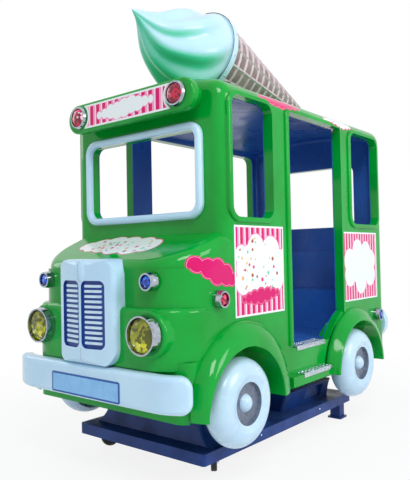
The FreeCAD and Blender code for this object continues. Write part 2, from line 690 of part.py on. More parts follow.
def pivot_housing():
    # Rear housing that carries the rocker bearings, with an access panel recess in each side
    levels = [(TRAY_TOP + (up if up else GAP), half, y0, y1) for up, half, y0, y1 in HOUSING_LEVELS]
    body = loft_box(levels + [(HOUSING_TOP,) + HOUSING_NECK], 22.0)
    for side in (1, -1):
        a, b = side * (HOUSING_LEVELS[0][1] - 6.0), side * (HOUSING_NECK[0] + 30.0)
        recess = rounded(min(a, b), max(a, b), HATCH_Y[0], HATCH_Y[1], TRAY_TOP + HATCH_IN,
                         HOUSING_TOP - HATCH_IN, 14.0, V(1, 0, 0))
        body = body.cut(recess)
    return body


def pivot_bearings():
    # Two plummer blocks bolted to the rear housing
    parts = []
    for side in (1, -1):
        x = side * 175.0
        z0 = HOUSING_TOP
        foot = box(x - 16.0, x + 16.0, PIVOT_Y - 60.0, PIVOT_Y + 60.0, z0 + GAP, z0 + 12.0)
        cap = cyl(27.0, x - 16.0, PIVOT_Y, PIVOT_Z, 32.0, V(1, 0, 0))
        web = box(x - 16.0, x + 16.0, PIVOT_Y - 27.0, PIVOT_Y + 27.0, z0 + 10.0, PIVOT_Z)
        block = fused([foot, cap, web])
        parts.append(block.cut(cyl(PIVOT_R + GAP, x - 30.0, PIVOT_Y, PIVOT_Z, 60.0, V(1, 0, 0))))
    return Part.makeCompound(parts)


def castor_plates():
    # Mounting plates and swivel housings under the tray
    plate = rounded(CASTOR_X - 32.0, CASTOR_X + 32.0, CASTOR_Y - 32.0, CASTOR_Y + 32.0,
                    TRAY_TOP - SHEET - 5.0, TRAY_TOP - SHEET - GAP, 6.0, V(0, 0, 1))
    head = cyl(20.0, CASTOR_X, CASTOR_Y, TRAY_TOP - SHEET - 13.0, 9.0, V(0, 0, 1))
    pin = cyl(6.0, CASTOR_X, CASTOR_Y, TRAY_TOP - SHEET - 26.0, 14.0, V(0, 0, 1))
    return both_sides(fused([plate, head, pin]))


def castor_fork(side, turn):
    # Pressed fork with swept-back legs, turned about its swivel
    x, y, z = side * CASTOR_X, CASTOR_Y, CASTOR_R
    top = TRAY_TOP - SHEET - 13.0 - GAP * 2.0
    crown = cyl(21.0, x, y, top - 6.0, 6.0, V(0, 0, 1))
    parts = [crown]
    for s in (1, -1):
        a, b = x + s * 15.0, x + s * 18.5
        x0 = min(a, b)
        axle = y + CASTOR_TRAIL
        leg = face_of([(x0, y - 14.0, top), (x0, y + 16.0, top), (x0, axle + 10.0, z + 4.0),
                       (x0, axle + 10.0, z - 9.0), (x0, axle - 10.0, z - 9.0), (x0, axle - 14.0, z + 10.0)])
        parts.append(leg.extrude(V(3.5, 0, 0)))
    parts.append(box(x - 17.0, x + 17.0, y - 14.0, y + 16.0, top - 4.0, top))
    parts.append(cyl(4.0, x - 20.0, y + CASTOR_TRAIL, z, 40.0, V(1, 0, 0)))
    fork = fused(parts).cut(cyl(6.0 + GAP, x, y, top - 20.0, 40.0, V(0, 0, 1)))
    fork.rotate(V(x, y, 0), V(0, 0, 1), turn)
    return fork


def castor_wheel(side, turn):
    x, y, z = side * CASTOR_X, CASTOR_Y, CASTOR_R
    wheel = cyl(CASTOR_R, x - 12.5, y + CASTOR_TRAIL, z, 25.0, V(1, 0, 0))
    rims = [e for e in wheel.Edges if e.Curve.TypeId == "Part::GeomCircle"]
    wheel = wheel.makeFillet(5.0, rims)
    wheel = wheel.cut(cyl(4.0 + GAP, x - 20.0, y + CASTOR_TRAIL, z, 40.0, V(1, 0, 0)))
    for s in (1, -1):
        a, b = x + s * 8.0, x + s * 20.0
        ring = cyl(CASTOR_R - 12.0, min(a, b), y + CASTOR_TRAIL, z, 12.0, V(1, 0, 0))
        ring = ring.cut(cyl(11.0, min(a, b) - 1.0, y + CASTOR_TRAIL, z, 14.0, V(1, 0, 0)))
        wheel = wheel.cut(ring)
    wheel.rotate(V(x, y, 0), V(0, 0, 1), turn)
    return wheel


def side_steps():
    # Moulded step between the arches, under the doorway
    outline = [(SIDE_X + GAP, STEP_TOP), (STEP_X, STEP_TOP), (STEP_X, BODY_LOW + 6.0),
               (STEP_X - 8.0, BODY_LOW), (SIDE_X + GAP, BODY_LOW)]
    face = face_of([(x, STEP_Y[0], z) for x, z in outline])
    step = face.extrude(V(0, STEP_Y[1] - STEP_Y[0], 0))
    step = step.cut(flare_cut(AXLE_FRONT, ARCH_FRONT, GAP))
    return both_sides(step.cut(flare_cut(AXLE_REAR, ARCH_REAR, GAP)))


def step_treads():
    # Ribbed chrome tread strips on the sill and on the step
    parts = []
    strips = ((SIDE_X + 4.0, FLOOR_TOP, 62.0), (STEP_X + 3.0, STEP_TOP, STEP_X - SIDE_X + 2.0))
    y0, y1 = TREAD_Y
    for nose_x, top, depth in strips:
        base = box(nose_x - depth, nose_x, TREAD_Y[0], TREAD_Y[1], top + GAP, top + GAP + 3.0)
        nosing = box(nose_x - 3.0, nose_x, TREAD_Y[0], TREAD_Y[1], top - 15.0, top + GAP + 3.0)
        strip = [base, nosing]
        count = int(depth / 10.0)
        for i in range(count):
            x = nose_x - 6.0 - i * (depth - 8.0) / max(count - 1, 1)
            strip.append(box(x - 2.0, x + 2.0, y0 + 2.0, y1 - 2.0, top + GAP + 2.0, top + GAP + 5.0))
        parts.append(fused(strip))
    return Part.makeCompound(parts + [mirrored(p) for p in parts])


def screen_frame():
    # Rounded bead round the windscreen
    w = FRAME_W
    y0 = CAB_FRONT - FRAME_H
    outer = rounded(-SCREEN_HALF - w, SCREEN_HALF + w, y0, CAB_FRONT - GAP, SCREEN_LOW - w, SCREEN_TOP + w,
                    SCREEN_R + w - 6.0, V(0, 1, 0))
    outer = outer.makeFillet(15.0, edges_at(outer, 1, y0))
    hole = rounded(-SCREEN_HALF, SCREEN_HALF, y0 - 10.0, CAB_FRONT + 10.0, SCREEN_LOW, SCREEN_TOP,
                   SCREEN_R, V(0, 1, 0))
    frame = outer.cut(hole)
    return frame.makeFillet(13.0, edges_at(frame, 1, y0))


def back_frame():
    # Moulded lip round the rear window
    w = BEAD_W
    y1 = CAB_REAR + BEAD_H
    outer = rounded(-BACK_HALF - w, BACK_HALF + w, CAB_REAR + GAP, y1, BACK_LOW - w, BACK_TOP + w,
                    SCREEN_R + w, V(0, 1, 0))
    outer = outer.makeFillet(8.5, edges_at(outer, 1, y1))
    hole = rounded(-BACK_HALF, BACK_HALF, CAB_REAR - 10.0, y1 + 10.0, BACK_LOW, BACK_TOP,
                   SCREEN_R, V(0, 1, 0))
    return outer.cut(hole)


def stadium(half, z0, z1, y0, y1):
    r = (z1 - z0) / 2.0
    zc = z0 + r
    body = box(-half + r, half - r, y0, y1, z0, z1)
    return fused([body, cyl(r, -half + r, y0, zc, y1 - y0, V(0, 1, 0)),
                  cyl(r, half - r, y0, zc, y1 - y0, V(0, 1, 0))])


def sign_board():
    # Long rounded board over the windscreen, with the neck that carries it
    z0, z1 = SIGN_Z
    board = stadium(SIGN_HALF, z0, z1, SIGN_Y, SIGN_Y + 46.0)
    board = board.makeFillet(12.0, edges_at(board, 1, SIGN_Y))
    board = board.makeFillet(14.0, edges_at(board, 1, SIGN_Y + 46.0))
    neck = stadium(SIGN_HALF - 30.0, z0 + 22.0, z1 - 12.0, SIGN_Y + 30.0, CAB_FRONT + 60.0)
    return fused([board, neck]).cut(cab_solid(-GAP, BODY_LOW))


def lamp_rim(r, depth):
    # Chrome rim ring about +Z, seated at z = 0
    points = [V(r - 5.0, 0, 0), V(r, 0, 0), V(r, 0, depth * 0.45), V(r - 3.0, 0, depth),
              V(r - 9.0, 0, depth), V(r - 10.0, 0, depth * 0.6)]
    face = Part.Face(Part.makePolygon(points + points[:1]))
    return face.revolve(V(0, 0, 0), V(0, 0, 1), 360.0)


def lamp_lens(r, depth, crown):
    # Domed lens that fills the rim: a plain drum with a slice of a ball on it
    rr = r - 10.0 - GAP
    low = depth * 0.6
    drum = Part.makeCone(rr - 2.0, rr, low - GAP, V(0, 0, GAP), V(0, 0, 1))
    ball_r = (rr * rr + crown * crown) / (2.0 * crown)
    dome = Part.makeSphere(ball_r, V(0, 0, low + crown - ball_r))
    dome = dome.common(Part.makeCylinder(rr + 1.0, crown + 5.0, V(0, 0, low)))
    return fused([drum, dome])


def placed(shape, seat, out):
    # Turn a lamp from +Z to its outward direction and set it on its seat
    copy = shape.copy()
    copy.Placement = FreeCAD.Placement(seat, FreeCAD.Rotation(V(0, 0, 1), out))
    return copy


def lamp_set(kind):
    # Seat and direction of each lamp on the left: headlight, front marker, sign lamp and side markers
    marker_y = NOSE_FRONT + MARKER_SET - GAP
    side_r = LAMP_R - 1.0
    small = LAMP_T * LAMP_CROWN
    large = HEAD_T * LAMP_CROWN
    sign = V(SIGN_LAMP_X, SIGN_Y - GAP, SIGN_LAMP_Z)
    rows = {"head": [(HEAD_R, HEAD_T, large, V(HEAD_X, NOSE_FRONT - GAP, HEAD_Z), V(0, -1, 0))],
            "blue": [(LAMP_R, LAMP_T, small, V(BLUE_X, marker_y, BLUE_Z), V(0, -1, 0)),
                     (side_r, LAMP_T, small, V(SIDE_X + GAP, SIDE_BLUE[0], SIDE_BLUE[1]), V(1, 0, 0))],
            "red": [(SIGN_LAMP_R, SIGN_LAMP_T, 12.0, sign, V(0, -1, 0)),
                    (side_r, LAMP_T, small, V(SIDE_X + GAP, SIDE_RED[0], SIDE_RED[1]), V(1, 0, 0))]}
    return rows[kind]


def lenses(kind):
    parts = []
    for r, depth, crown, seat, out in lamp_set(kind):
        lens = placed(lamp_lens(r, depth, crown), seat, out)
        parts += [lens, mirrored(lens)]
    return Part.makeCompound(parts)


def lamp_rims():
    parts = []
    for kind in ("head", "blue", "red"):
        for r, depth, crown, seat, out in lamp_set(kind):
            rim = placed(lamp_rim(r, depth), seat, out)
            parts += [rim, mirrored(rim)]
    return Part.makeCompound(parts)


def striped_panels():
    # Flat panels: sign panel with hollow ends, and two side panels each side
    z0, z1 = SIGN_Z
    half = SIGN_LAMP_X - 34.0
    front = box(-half, half, SIGN_Y - PANEL_T - GAP, SIGN_Y - GAP, z0 + 14.0, z1 - 14.0)
    for side in (1, -1):
        x = side * SIGN_LAMP_X
        front = front.cut(cyl(SIGN_LAMP_R + 8.0, x, SIGN_Y - 20.0, SIGN_LAMP_Z, 40.0, V(0, 1, 0)))
    parts = [front]
    for y0, y1, a, b in (SIDE_PANEL_1, SIDE_PANEL_2):
        panel = box(SIDE_X + GAP, SIDE_X + GAP + PANEL_T, y0, y1, a, b)
        panel = panel.cut(flare_cut(AXLE_FRONT, ARCH_FRONT, 1.0))
        panel = panel.cut(flare_cut(AXLE_REAR, ARCH_REAR, 1.0))
        parts += [panel, mirrored(panel)]
    return Part.makeCompound(parts)


def grille_surround():
    # Tall rounded shield bowed to a ridge down the middle, with a pocket each side and a crest on top
    back_y = NOSE_FRONT + MARKER_SET + 30.0
    bow = Part.Arc(V(GRILLE_HALF, GRILLE_EDGE, 0), V(GRILLE_HALF * 0.5, GRILLE_RIDGE + 8.5, 0),
                   V(0, GRILLE_RIDGE, 0)).toShape()
    back = Part.makePolygon([V(-GRILLE_HALF, GRILLE_EDGE, 0), V(-GRILLE_HALF, back_y, 0),
                             V(GRILLE_HALF, back_y, 0), V(GRILLE_HALF, GRILLE_EDGE, 0)])
    plan = Part.Wire(Part.__sortEdges__([bow, mirrored(bow)] + back.Edges))
    prism = Part.Face(plan).extrude(V(0, 0, GRILLE_TOP + 100.0))
    flanks = [e for e in edges_along(prism, V(0, 0, 1))
              if abs(abs(e.CenterOfMass.x) - GRILLE_HALF) < 1.0 and e.CenterOfMass.y < GRILLE_EDGE + 1.0]
    prism = prism.makeFillet(GRILLE_SOFT, flanks)
    front_view = rounded(-GRILLE_HALF, GRILLE_HALF, GRILLE_RIDGE - 20.0, back_y + 20.0,
                         GRILLE_LOW, GRILLE_TOP, GRILLE_R, V(0, 1, 0))
    ahead = GRILLE_RIDGE - BROW_AHEAD
    side_view = box(-GRILLE_HALF, GRILLE_HALF, ahead, back_y, GRILLE_LOW, GRILLE_TOP)
    brow = [e for e in edges_along(side_view, V(1, 0, 0)) if e.CenterOfMass.y < ahead + 1.0]
    body = prism.common(front_view).common(side_view.makeFillet(GRILLE_BROW_R + BROW_AHEAD, brow))
    for side in (1, -1):
        body = body.cut(grille_pocket(side, 0.0))
    return fused([body.cut(nose_solid(-GAP)), grille_crest()])


def grille_crest():
    # Barrel-faced boss on the ridge over the pockets, crowned across and from top to bottom
    low, high = CREST_Z
    half_h = (high - low) / 2.0
    tip = GRILLE_RIDGE - CREST_OUT
    root = GRILLE_RIDGE + CREST_SINK
    upright_r = (half_h ** 2 + CREST_CROWN ** 2) / (2.0 * CREST_CROWN)
    crown = Part.Arc(V(-CREST_HALF, root, low + half_h), V(0, tip, low + half_h),
                     V(CREST_HALF, root, low + half_h)).toShape()
    sides = Part.makePolygon([V(-CREST_HALF, root, low + half_h), V(-CREST_HALF, root + 20.0, low + half_h),
                              V(CREST_HALF, root + 20.0, low + half_h), V(CREST_HALF, root, low + half_h)])
    face = Part.Face(Part.Wire(Part.__sortEdges__([crown] + sides.Edges)))
    sweep = math.degrees(math.asin(half_h / upright_r)) * 2.0
    hinge = V(0, tip + upright_r, low + half_h)
    face.rotate(hinge, V(1, 0, 0), -sweep)
    barrel = face.revolve(hinge, V(1, 0, 0), 2.0 * sweep)
    return barrel.common(box(-CREST_HALF - 10.0, CREST_HALF + 10.0, tip - 5.0, root + 15.0, low, high))


def grille_pocket(side, inset):
    a, b = side * (POCKET_X[0] + inset), side * (POCKET_X[1] - inset)
    return rounded(min(a, b), max(a, b), GRILLE_RIDGE - 30.0, POCKET_Y - inset, POCKET_Z[0] + inset,
                   POCKET_Z[1] - inset, POCKET_R - inset, V(0, 1, 0))


def grille_insert():
    # A dark panel on each pocket's floor, with a stack of flat bars
    parts = []
    front = POCKET_Y - PANEL_DEEP
    edge = BAR_H / 2.0 + 13.0
    pitch = (POCKET_Z[1] - POCKET_Z[0] - 2.0 * edge) / (BARS - 1)
    for side in (1, -1):
        panel = grille_pocket(side, GAP).common(box(-GRILLE_HALF, GRILLE_HALF, front, POCKET_Y,
                                                    POCKET_Z[0], POCKET_Z[1]))
        a, b = side * BAR_X[0], side * BAR_X[1]
        stack = [panel]
        for i in range(BARS):
            z = POCKET_Z[0] + edge + i * pitch
            stack.append(box(min(a, b), max(a, b), front - BAR_DEEP, front + 1.0,
                             z - BAR_H / 2.0, z + BAR_H / 2.0))
        parts.append(fused(stack))
    return Part.makeCompound(parts)


def front_bumper():
    # Bar straight across the front with its ends swept back and rounded, on two stand-offs
    z0, z1 = BUMPER_Z
    reach = BUMPER_HALF - BUMPER_STRAIGHT
    turn = 2.0 * math.atan((BUMPER_END_Y - BUMPER_Y) / reach)
    bend_r = reach / math.sin(turn)
    edges = []
    for r in (bend_r + BUMPER_D / 2.0, bend_r - BUMPER_D / 2.0):
        points = []
        for a in (0.0, turn / 2.0, turn):
            points.append(V(BUMPER_STRAIGHT + r * math.sin(a), BUMPER_Y + bend_r - r * math.cos(a), z0))
        bend = Part.Arc(points[0], points[1], points[2]).toShape()
        across = Part.makeLine(V(-BUMPER_STRAIGHT, points[0].y, z0), points[0])
        edges += [bend, mirrored(bend), across]
        edges.append(points[2])
    inner, outer = edges.pop(), edges.pop(3)
    tip = Part.makeLine(outer, inner)
    edges += [tip, mirrored(tip)]
    bar = Part.Face(Part.Wire(Part.__sortEdges__(edges))).extrude(V(0, 0, z1 - z0))
    for side in (1, -1):
        across = V(side * math.sin(turn), -math.cos(turn), 0)
        corners = [e for e in edges_along(bar, across) if e.CenterOfMass.x * side > 0]
        bar = bar.makeFillet(BUMPER_END_R, corners)
    loops = []
    for edge in bar.Edges:
        bb = edge.BoundBox
        seam = bb.ZLength > 80.0 and abs(abs(bb.XMin) - BUMPER_STRAIGHT) < 1.0
        along = False
        for side in (1, -1):
            across = V(side * math.sin(turn), -math.cos(turn), 0)
            if len(edge.Vertexes) == 2 and edge.Curve.TypeId == "Part::GeomLine":
                run = edge.Vertexes[1].Point.sub(edge.Vertexes[0].Point).normalize()
                along = along or abs(abs(run.dot(across)) - 1.0) < 1e-6
        if not seam and not along:
            loops.append(edge)
    bar = bar.makeFillet(BUMPER_SOFT, loops)
    wide, low, high = STAND_OFF
    for side in (1, -1):
        x = side * RAIL_X
        bar = bar.fuse(box(x - wide / 2.0, x + wide / 2.0, BUMPER_Y, VALANCE_Y - GAP, low, high))
    return bar.removeSplitter()


def rear_bumper():
    # Straight bar with round ends, flat against the rear wall
    y0 = CAB_REAR + GAP
    bar = stadium(REAR_BUMPER_HALF, REAR_BUMPER_Z[0], REAR_BUMPER_Z[1], y0, y0 + REAR_BUMPER_D)
    return bar.makeFillet(26.0, edges_at(bar, 1, y0 + REAR_BUMPER_D))


def number_plate():
    # Plain plate on the flat front of the bumper
    back = BUMPER_Y - BUMPER_D / 2.0 - GAP
    return rounded(-PLATE_HALF, PLATE_HALF, back - PLATE_T, back, PLATE_Z[0], PLATE_Z[1], 8.0, V(0, 1, 0))


def along_cone(s, r, angle):
    # Point at distance s behind the ring along the cone axis, r out at this angle
    t = math.radians(CONE_TILT)
    axis = V(0, math.cos(t), -math.sin(t))
    up = V(0, math.sin(t), math.cos(t))
    base = V(0, CONE_Y, CONE_Z).add(V(axis.x * s, axis.y * s, axis.z * s))
    c, d = r * math.cos(angle), r * math.sin(angle)
    return V(base.x + d, base.y + up.y * c, base.z + up.z * c)


def cone_axis():
    t = math.radians(CONE_TILT)
    return V(0, math.cos(t), -math.sin(t))


def cone_turned(points):
    # Revolve a section of (distance along axis, radius) about the cone axis
    pts = [along_cone(s, r, 0.0) for s, r in points]
    face = Part.Face(Part.makePolygon(pts + pts[:1]))
    return face.revolve(V(0, CONE_Y, CONE_Z), cone_axis(), 360.0)


def waffle_cone():
    # Long hollow cone with a blunt rounded end
    taper = CONE_TAPER
    end_r = (CONE_L - CONE_END) * taper
    t = CONE_T
    front = COLLAR_W + GAP
    return cone_turned([(front, (CONE_L - COLLAR_W) * taper - t), (front, (CONE_L - COLLAR_W) * taper),
                        (CONE_END, end_r), (CONE_END + end_r * 0.5, end_r * 0.8),
                        (CONE_END + end_r * 0.8, end_r * 0.4), (CONE_END + end_r * 0.9, 0.0),
                        (CONE_END - 30.0, 0.0), (CONE_END - 30.0, end_r - t)])


def cone_collar():
    # Band that joins cream and cone, closed by a bulkhead
    return cone_turned([(0.0, 0.0), (0.0, CONE_R - 2.0), (4.0, CONE_R), (COLLAR_W, CONE_R),
                        (COLLAR_W, CONE_R - 12.0), (6.0, CONE_R - 12.0), (6.0, 0.0)])


def swirl_loft(sections, inset):
    wires = []
    count = 6 * LOBES
    for s, r, lobe, turn, drop in sections:
        pts = []
        for i in range(count):
            a = 2.0 * math.pi * i / count
            # The ridges stand a little outside the outline radius and the furrows well inside it
            rr = r * (1.0 + lobe * (math.cos(LOBES * (a - turn)) - 0.7)) - inset
            p = along_cone(-s, rr, a)
            pts.append(V(p.x, p.y, p.z - drop))
        curve = Part.BSplineCurve()
        curve.interpolate(pts, PeriodicFlag=True)
        wires.append(Part.Wire(curve.toShape()))
    return Part.makeLoft(wires, True, False)


def cream_swirl():
    # Hollow lofted soft-ice swirl: lobed sections that turn and shrink towards the tip
    hollow = [(s - 6.0, r, lobe, turn, drop) for s, r, lobe, turn, drop in SWIRL[:-3]]
    return swirl_loft(SWIRL, 0.0).cut(swirl_loft(hollow, CREAM_T))


def cone_cradle():
    # Two saddles that carry the cone on the roof
    clear = cone_turned([(-GAP, 0.0), (-GAP, CONE_R + GAP), (COLLAR_W + GAP, CONE_R + GAP),
                         (COLLAR_W + GAP, (CONE_L - COLLAR_W - GAP) * CONE_TAPER + GAP),
                         (CONE_L, GAP), (CONE_L + GAP, 0.0)])
    roof = cab_solid(-GAP, ROOF_TOP - 200.0)
    parts = []
    for y, half, high in CRADLES:
        saddle = box(-half, half, y - 16.0, y + 16.0, ROOF_TOP - 60.0, high)
        saddle = saddle.makeFillet(10.0, edges_along(saddle, V(0, 1, 0)))
        saddle = saddle.cut(roof).cut(clear)
        parts.append(max(saddle.Solids, key=lambda solid: solid.Volume))
    return Part.makeCompound(parts)


def save(shape, name):
    # Put Y = 0 in the middle of the ride and write the piece's file
    piece = shape.copy()
    piece.translate(V(0, ORIGIN_Y, 0))
    piece.exportStep("parts/" + name + ".step")
    print(name, "valid", piece.isValid(), "solids", len(piece.Solids), "vol %.0f" % (piece.Volume / 1000.0))


shell = cab_shell()
save(side_wall(shell), "body_side_left")
save(mirrored(side_wall(shell)), "body_side_right")
save(front_wall(shell), "front_wall")
save(rear_wall(shell), "rear_wall")
save(roof_shell(shell), "roof_shell")
save(nose_shell(), "nose_shell")
arch_front = wheel_arch(AXLE_FRONT, ARCH_FRONT)
arch_rear = wheel_arch(AXLE_REAR, ARCH_REAR)
save(arch_front, "fender_front_left")
save(mirrored(arch_front), "fender_front_right")
save(arch_rear, "fender_rear_left")
save(mirrored(arch_rear), "fender_rear_right")
save(make_wheel(AXLE_FRONT, 1), "wheel_front_left")
save(make_wheel(AXLE_FRONT, -1), "wheel_front_right")
save(make_wheel(AXLE_REAR, 1), "wheel_rear_left")
save(make_wheel(AXLE_REAR, -1), "wheel_rear_right")
save(rocker_frame(), "rocker_frame")
save(cabin_floor(), "cabin_floor")
save(rear_bench(), "rear_bench")
save(front_bench(), "front_bench")
save(cab_liner(), "cab_liner")
save(base_tray(), "base_tray")
save(rear_legs(), "rear_legs")
save(front_pedestal(), "front_pedestal")
save(pivot_housing(), "pivot_housing")
save(drive_motor(), "drive_motor")
save(pivot_bearings(), "pivot_bearings")
save(castor_plates(), "castor_plates")
save(castor_fork(1, CASTOR_TURN[0]), "castor_fork_left")
save(castor_fork(-1, CASTOR_TURN[1]), "castor_fork_right")
save(castor_wheel(1, CASTOR_TURN[0]), "castor_wheel_left")
save(castor_wheel(-1, CASTOR_TURN[1]), "castor_wheel_right")
save(side_steps(), "side_steps")
save(step_treads(), "step_treads")
save(screen_frame(), "windscreen_frame")
save(back_frame(), "rear_window_frame")
save(sign_board(), "sign_board")
save(striped_panels(), "striped_panels")
save(grille_surround(), "grille_surround")
save(grille_insert(), "grille_insert")
save(front_bumper(), "front_bumper")
save(rear_bumper(), "rear_bumper")
save(number_plate(), "number_plate")
save(lamp_rims(), "lamp_rims")
save(lenses("head"), "headlight_lenses")
save(lenses("blue"), "blue_lamps")
save(lenses("red"), "red_lamps")
save(cream_swirl(), "cream_swirl")
save(cone_collar(), "cone_collar")
save(waffle_cone(), "waffle_cone")
save(cone_cradle(), "cone_cradle")
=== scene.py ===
# Coin-operated rocking ride for small children, in the form of an ice cream truck.
# Metres, in the construction model's frame: the front faces -Y, the truck's left is +X.
import math
import bmesh
import bpy
from mathutils import Matrix, Vector


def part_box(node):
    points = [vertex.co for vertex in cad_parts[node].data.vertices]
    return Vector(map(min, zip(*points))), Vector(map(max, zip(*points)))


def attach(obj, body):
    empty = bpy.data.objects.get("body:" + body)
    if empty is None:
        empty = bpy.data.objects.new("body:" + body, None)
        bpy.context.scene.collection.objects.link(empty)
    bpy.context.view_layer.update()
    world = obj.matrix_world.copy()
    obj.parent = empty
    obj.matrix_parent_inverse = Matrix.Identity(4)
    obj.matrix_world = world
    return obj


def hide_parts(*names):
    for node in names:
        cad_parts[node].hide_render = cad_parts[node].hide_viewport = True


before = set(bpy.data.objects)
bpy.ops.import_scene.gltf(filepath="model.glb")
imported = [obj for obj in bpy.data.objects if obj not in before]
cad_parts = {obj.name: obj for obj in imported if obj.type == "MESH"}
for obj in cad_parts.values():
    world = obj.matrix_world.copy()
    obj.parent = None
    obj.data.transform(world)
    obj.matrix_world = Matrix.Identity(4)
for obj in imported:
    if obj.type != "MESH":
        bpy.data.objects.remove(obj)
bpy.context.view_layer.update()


# The base is a low tray of folded sheet steel on two square legs, with a housing at each end for
# the drive and the rocker shaft. It is sprayed with navy gloss enamel: an even gloss with a fine
# orange peel, rubbed specks, dust on the flats, and a few bright pop rivets along its flanges.
ENAMEL_NAVY = "#1C438F"
ENAMEL_NAVY_DARK = "#163673"
ENAMEL_PATCH_MM = 90.0
ENAMEL_PEEL_MM = 5.0
FLOOR_DUST = "#6480AE"
DUST_MOST = 0.16
RUB_GREY = "#4A6FAE"
RUB_MM = 14.0
RUB_OVER = 0.74
RIVET_Y = (-0.284, 0.240)
RIVET_Z = 0.1085
RIVET_R = 0.005
RIVET_PROUD = 0.002
RIVET_BRIGHT = "#C6D2E0"
RIVET_SHADE = "#A3AFBD"


def linear(hex_colour):
    # The shader's value of a colour that is written as sRGB
    parts = [int(hex_colour[i:i + 2], 16) / 255 for i in (1, 3, 5)]
    return (*[c / 12.92 if c <= 0.04045 else ((c + 0.055) / 1.055) ** 2.4 for c in parts], 1.0)


def add_node(tree, kind, settings, links):
    # A node with its own settings or socket values, and what feeds its sockets
    node = tree.nodes.new("ShaderNode" + kind)
    for name, value in settings.items():
        if isinstance(name, int) or name in node.inputs:
            node.inputs[name].default_value = value
        else:
            setattr(node, name, value)
    for name, source in links.items():
        tree.links.new(source, node.inputs[name])
    return node


def new_finish(name, roughness, ior=1.5, mirror=0.5, metallic=0.0):
    # An empty finish: the material, its tree, its shader and the piece's own coordinates. Where
    # mirror is under 0.5, it was matched to the photograph and is lower than the real finish's.
    finish = bpy.data.materials.new(name)
    finish.use_nodes = True
    tree = finish.node_tree
    shader = tree.nodes["Principled BSDF"]
    shader.inputs["Roughness"].default_value = roughness
    shader.inputs["IOR"].default_value = ior
    shader.inputs["Specular IOR Level"].default_value = mirror
    shader.inputs["Metallic"].default_value = metallic
    place = add_node(tree, "TexCoord", {}, {}).outputs["Object"]
    return finish, tree, shader, place


def mottle(tree, place, size_mm, colour, other, low=0.35, high=0.65):
    # One colour drifting to another in soft patches of the given size
    patches = add_node(tree, "TexNoise", {"Scale": 1000.0 / size_mm, "Detail": 3.0}, {"Vector": place})
    spread = add_node(tree, "MapRange", {"From Min": low, "From Max": high},
                      {"Value": patches.outputs["Fac"]})
    mixed = add_node(tree, "Mix", {"data_type": "RGBA", 6: linear(colour), 7: linear(other)},
                     {0: spread.outputs["Result"]})
    return mixed.outputs[2]


def ripple(tree, shader, place, size_mm, depth_mm):
    # Fine waviness of the surface, such as orange peel
    waves = add_node(tree, "TexNoise", {"Scale": 1000.0 / size_mm, "Detail": 2.0}, {"Vector": place})
    bump = add_node(tree, "Bump", {"Strength": 1.0, "Distance": depth_mm / 1000.0},
                    {"Height": waves.outputs["Fac"]})
    tree.links.new(bump.outputs["Normal"], shader.inputs["Normal"])


def uneven_gloss(tree, shader, place, size_mm, polished, dull):
    # Roughness that drifts between a polished and a handled value
    patches = add_node(tree, "TexNoise", {"Scale": 1000.0 / size_mm, "Detail": 1.0}, {"Vector": place})
    spread = add_node(tree, "MapRange",
                      {"From Min": 0.35, "From Max": 0.65, "To Min": polished, "To Max": dull},
                      {"Value": patches.outputs["Fac"]})
    tree.links.new(spread.outputs["Result"], shader.inputs["Roughness"])


def print_over(tree, below, gap, reach, above):
    # Lays one colour over another wherever the gap to a shape is under its reach
    covered = add_node(tree, "Math", {"operation": "LESS_THAN", 1: reach}, {0: gap})
    mixed = add_node(tree, "Mix", {"data_type": "RGBA"}, {0: covered.outputs["Value"]})
    for socket, colour in ((6, below), (7, above)):
        if isinstance(colour, str):
            mixed.inputs[socket].default_value = linear(colour)
        else:
            tree.links.new(colour, mixed.inputs[socket])
    return mixed.outputs[2]


def dress(finish, *names):
    # Gives a finish to parts whose shape comes from the construction model
    for name in names:
        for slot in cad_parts[name].material_slots:
            slot.material = finish


def stand_out(at, outward):
    # The place and turn of a small part that is centred at a point and faces outward
    turned = Vector((0, 0, 1)).rotation_difference(outward).to_matrix().to_4x4()
    return Matrix.Translation(at) @ turned


def button_head(into, at, outward, radius, proud):
    # The low head of a rivet or screw, seated at a point and standing out of it
    centre = stand_out(Vector(at) + Vector(outward) * proud / 2.0, Vector(outward))
    bmesh.ops.create_cone(into, cap_ends=True, cap_tris=False, segments=14, radius1=radius,
                          radius2=radius * 0.6, depth=proud, matrix=centre)


def set_piece(name, shape, body, slot, *finishes, smooth=False):
    # Makes a finished shape a piece of the scene that rides on a body
    bmesh.ops.recalc_face_normals(shape, faces=shape.faces[:])
    for face in shape.faces:
        face.smooth = smooth
    mesh = bpy.data.meshes.new(name)
    shape.to_mesh(mesh)
    shape.free()
    for finish in finishes:
        mesh.materials.append(finish)
    piece = bpy.data.objects.new(name, mesh)
    bpy.context.collection.objects.link(piece)
    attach(piece, body)
    return piece


enamel, tree, shader, place = new_finish("navy_gloss_enamel_on_steel", roughness=0.28, mirror=0.25)
colour = mottle(tree, place, ENAMEL_PATCH_MM, ENAMEL_NAVY, ENAMEL_NAVY_DARK)
rubbed = add_node(tree, "TexNoise", {"Scale": 1000.0 / RUB_MM, "Detail": 6.0, "Roughness": 0.75},
                  {"Vector": place})
wear = add_node(tree, "Math", {"operation": "MULTIPLY", 1: -1.0}, {0: rubbed.outputs["Fac"]})
colour = print_over(tree, colour, wear.outputs["Value"], -RUB_OVER, RUB_GREY)
facing = add_node(tree, "NewGeometry", {}, {})
upward = add_node(tree, "SeparateXYZ", {}, {"Vector": facing.outputs["Normal"]})
dusty = add_node(tree, "MapRange", {"From Min": 0.6, "From Max": 1.0, "To Max": DUST_MOST},
                 {"Value": upward.outputs["Z"]})
top = add_node(tree, "Mix", {"data_type": "RGBA", 7: linear(FLOOR_DUST)},
               {0: dusty.outputs["Result"], 6: colour})
tree.links.new(top.outputs[2], shader.inputs["Base Color"])
uneven_gloss(tree, shader, place, ENAMEL_PATCH_MM, polished=0.28, dull=0.42)
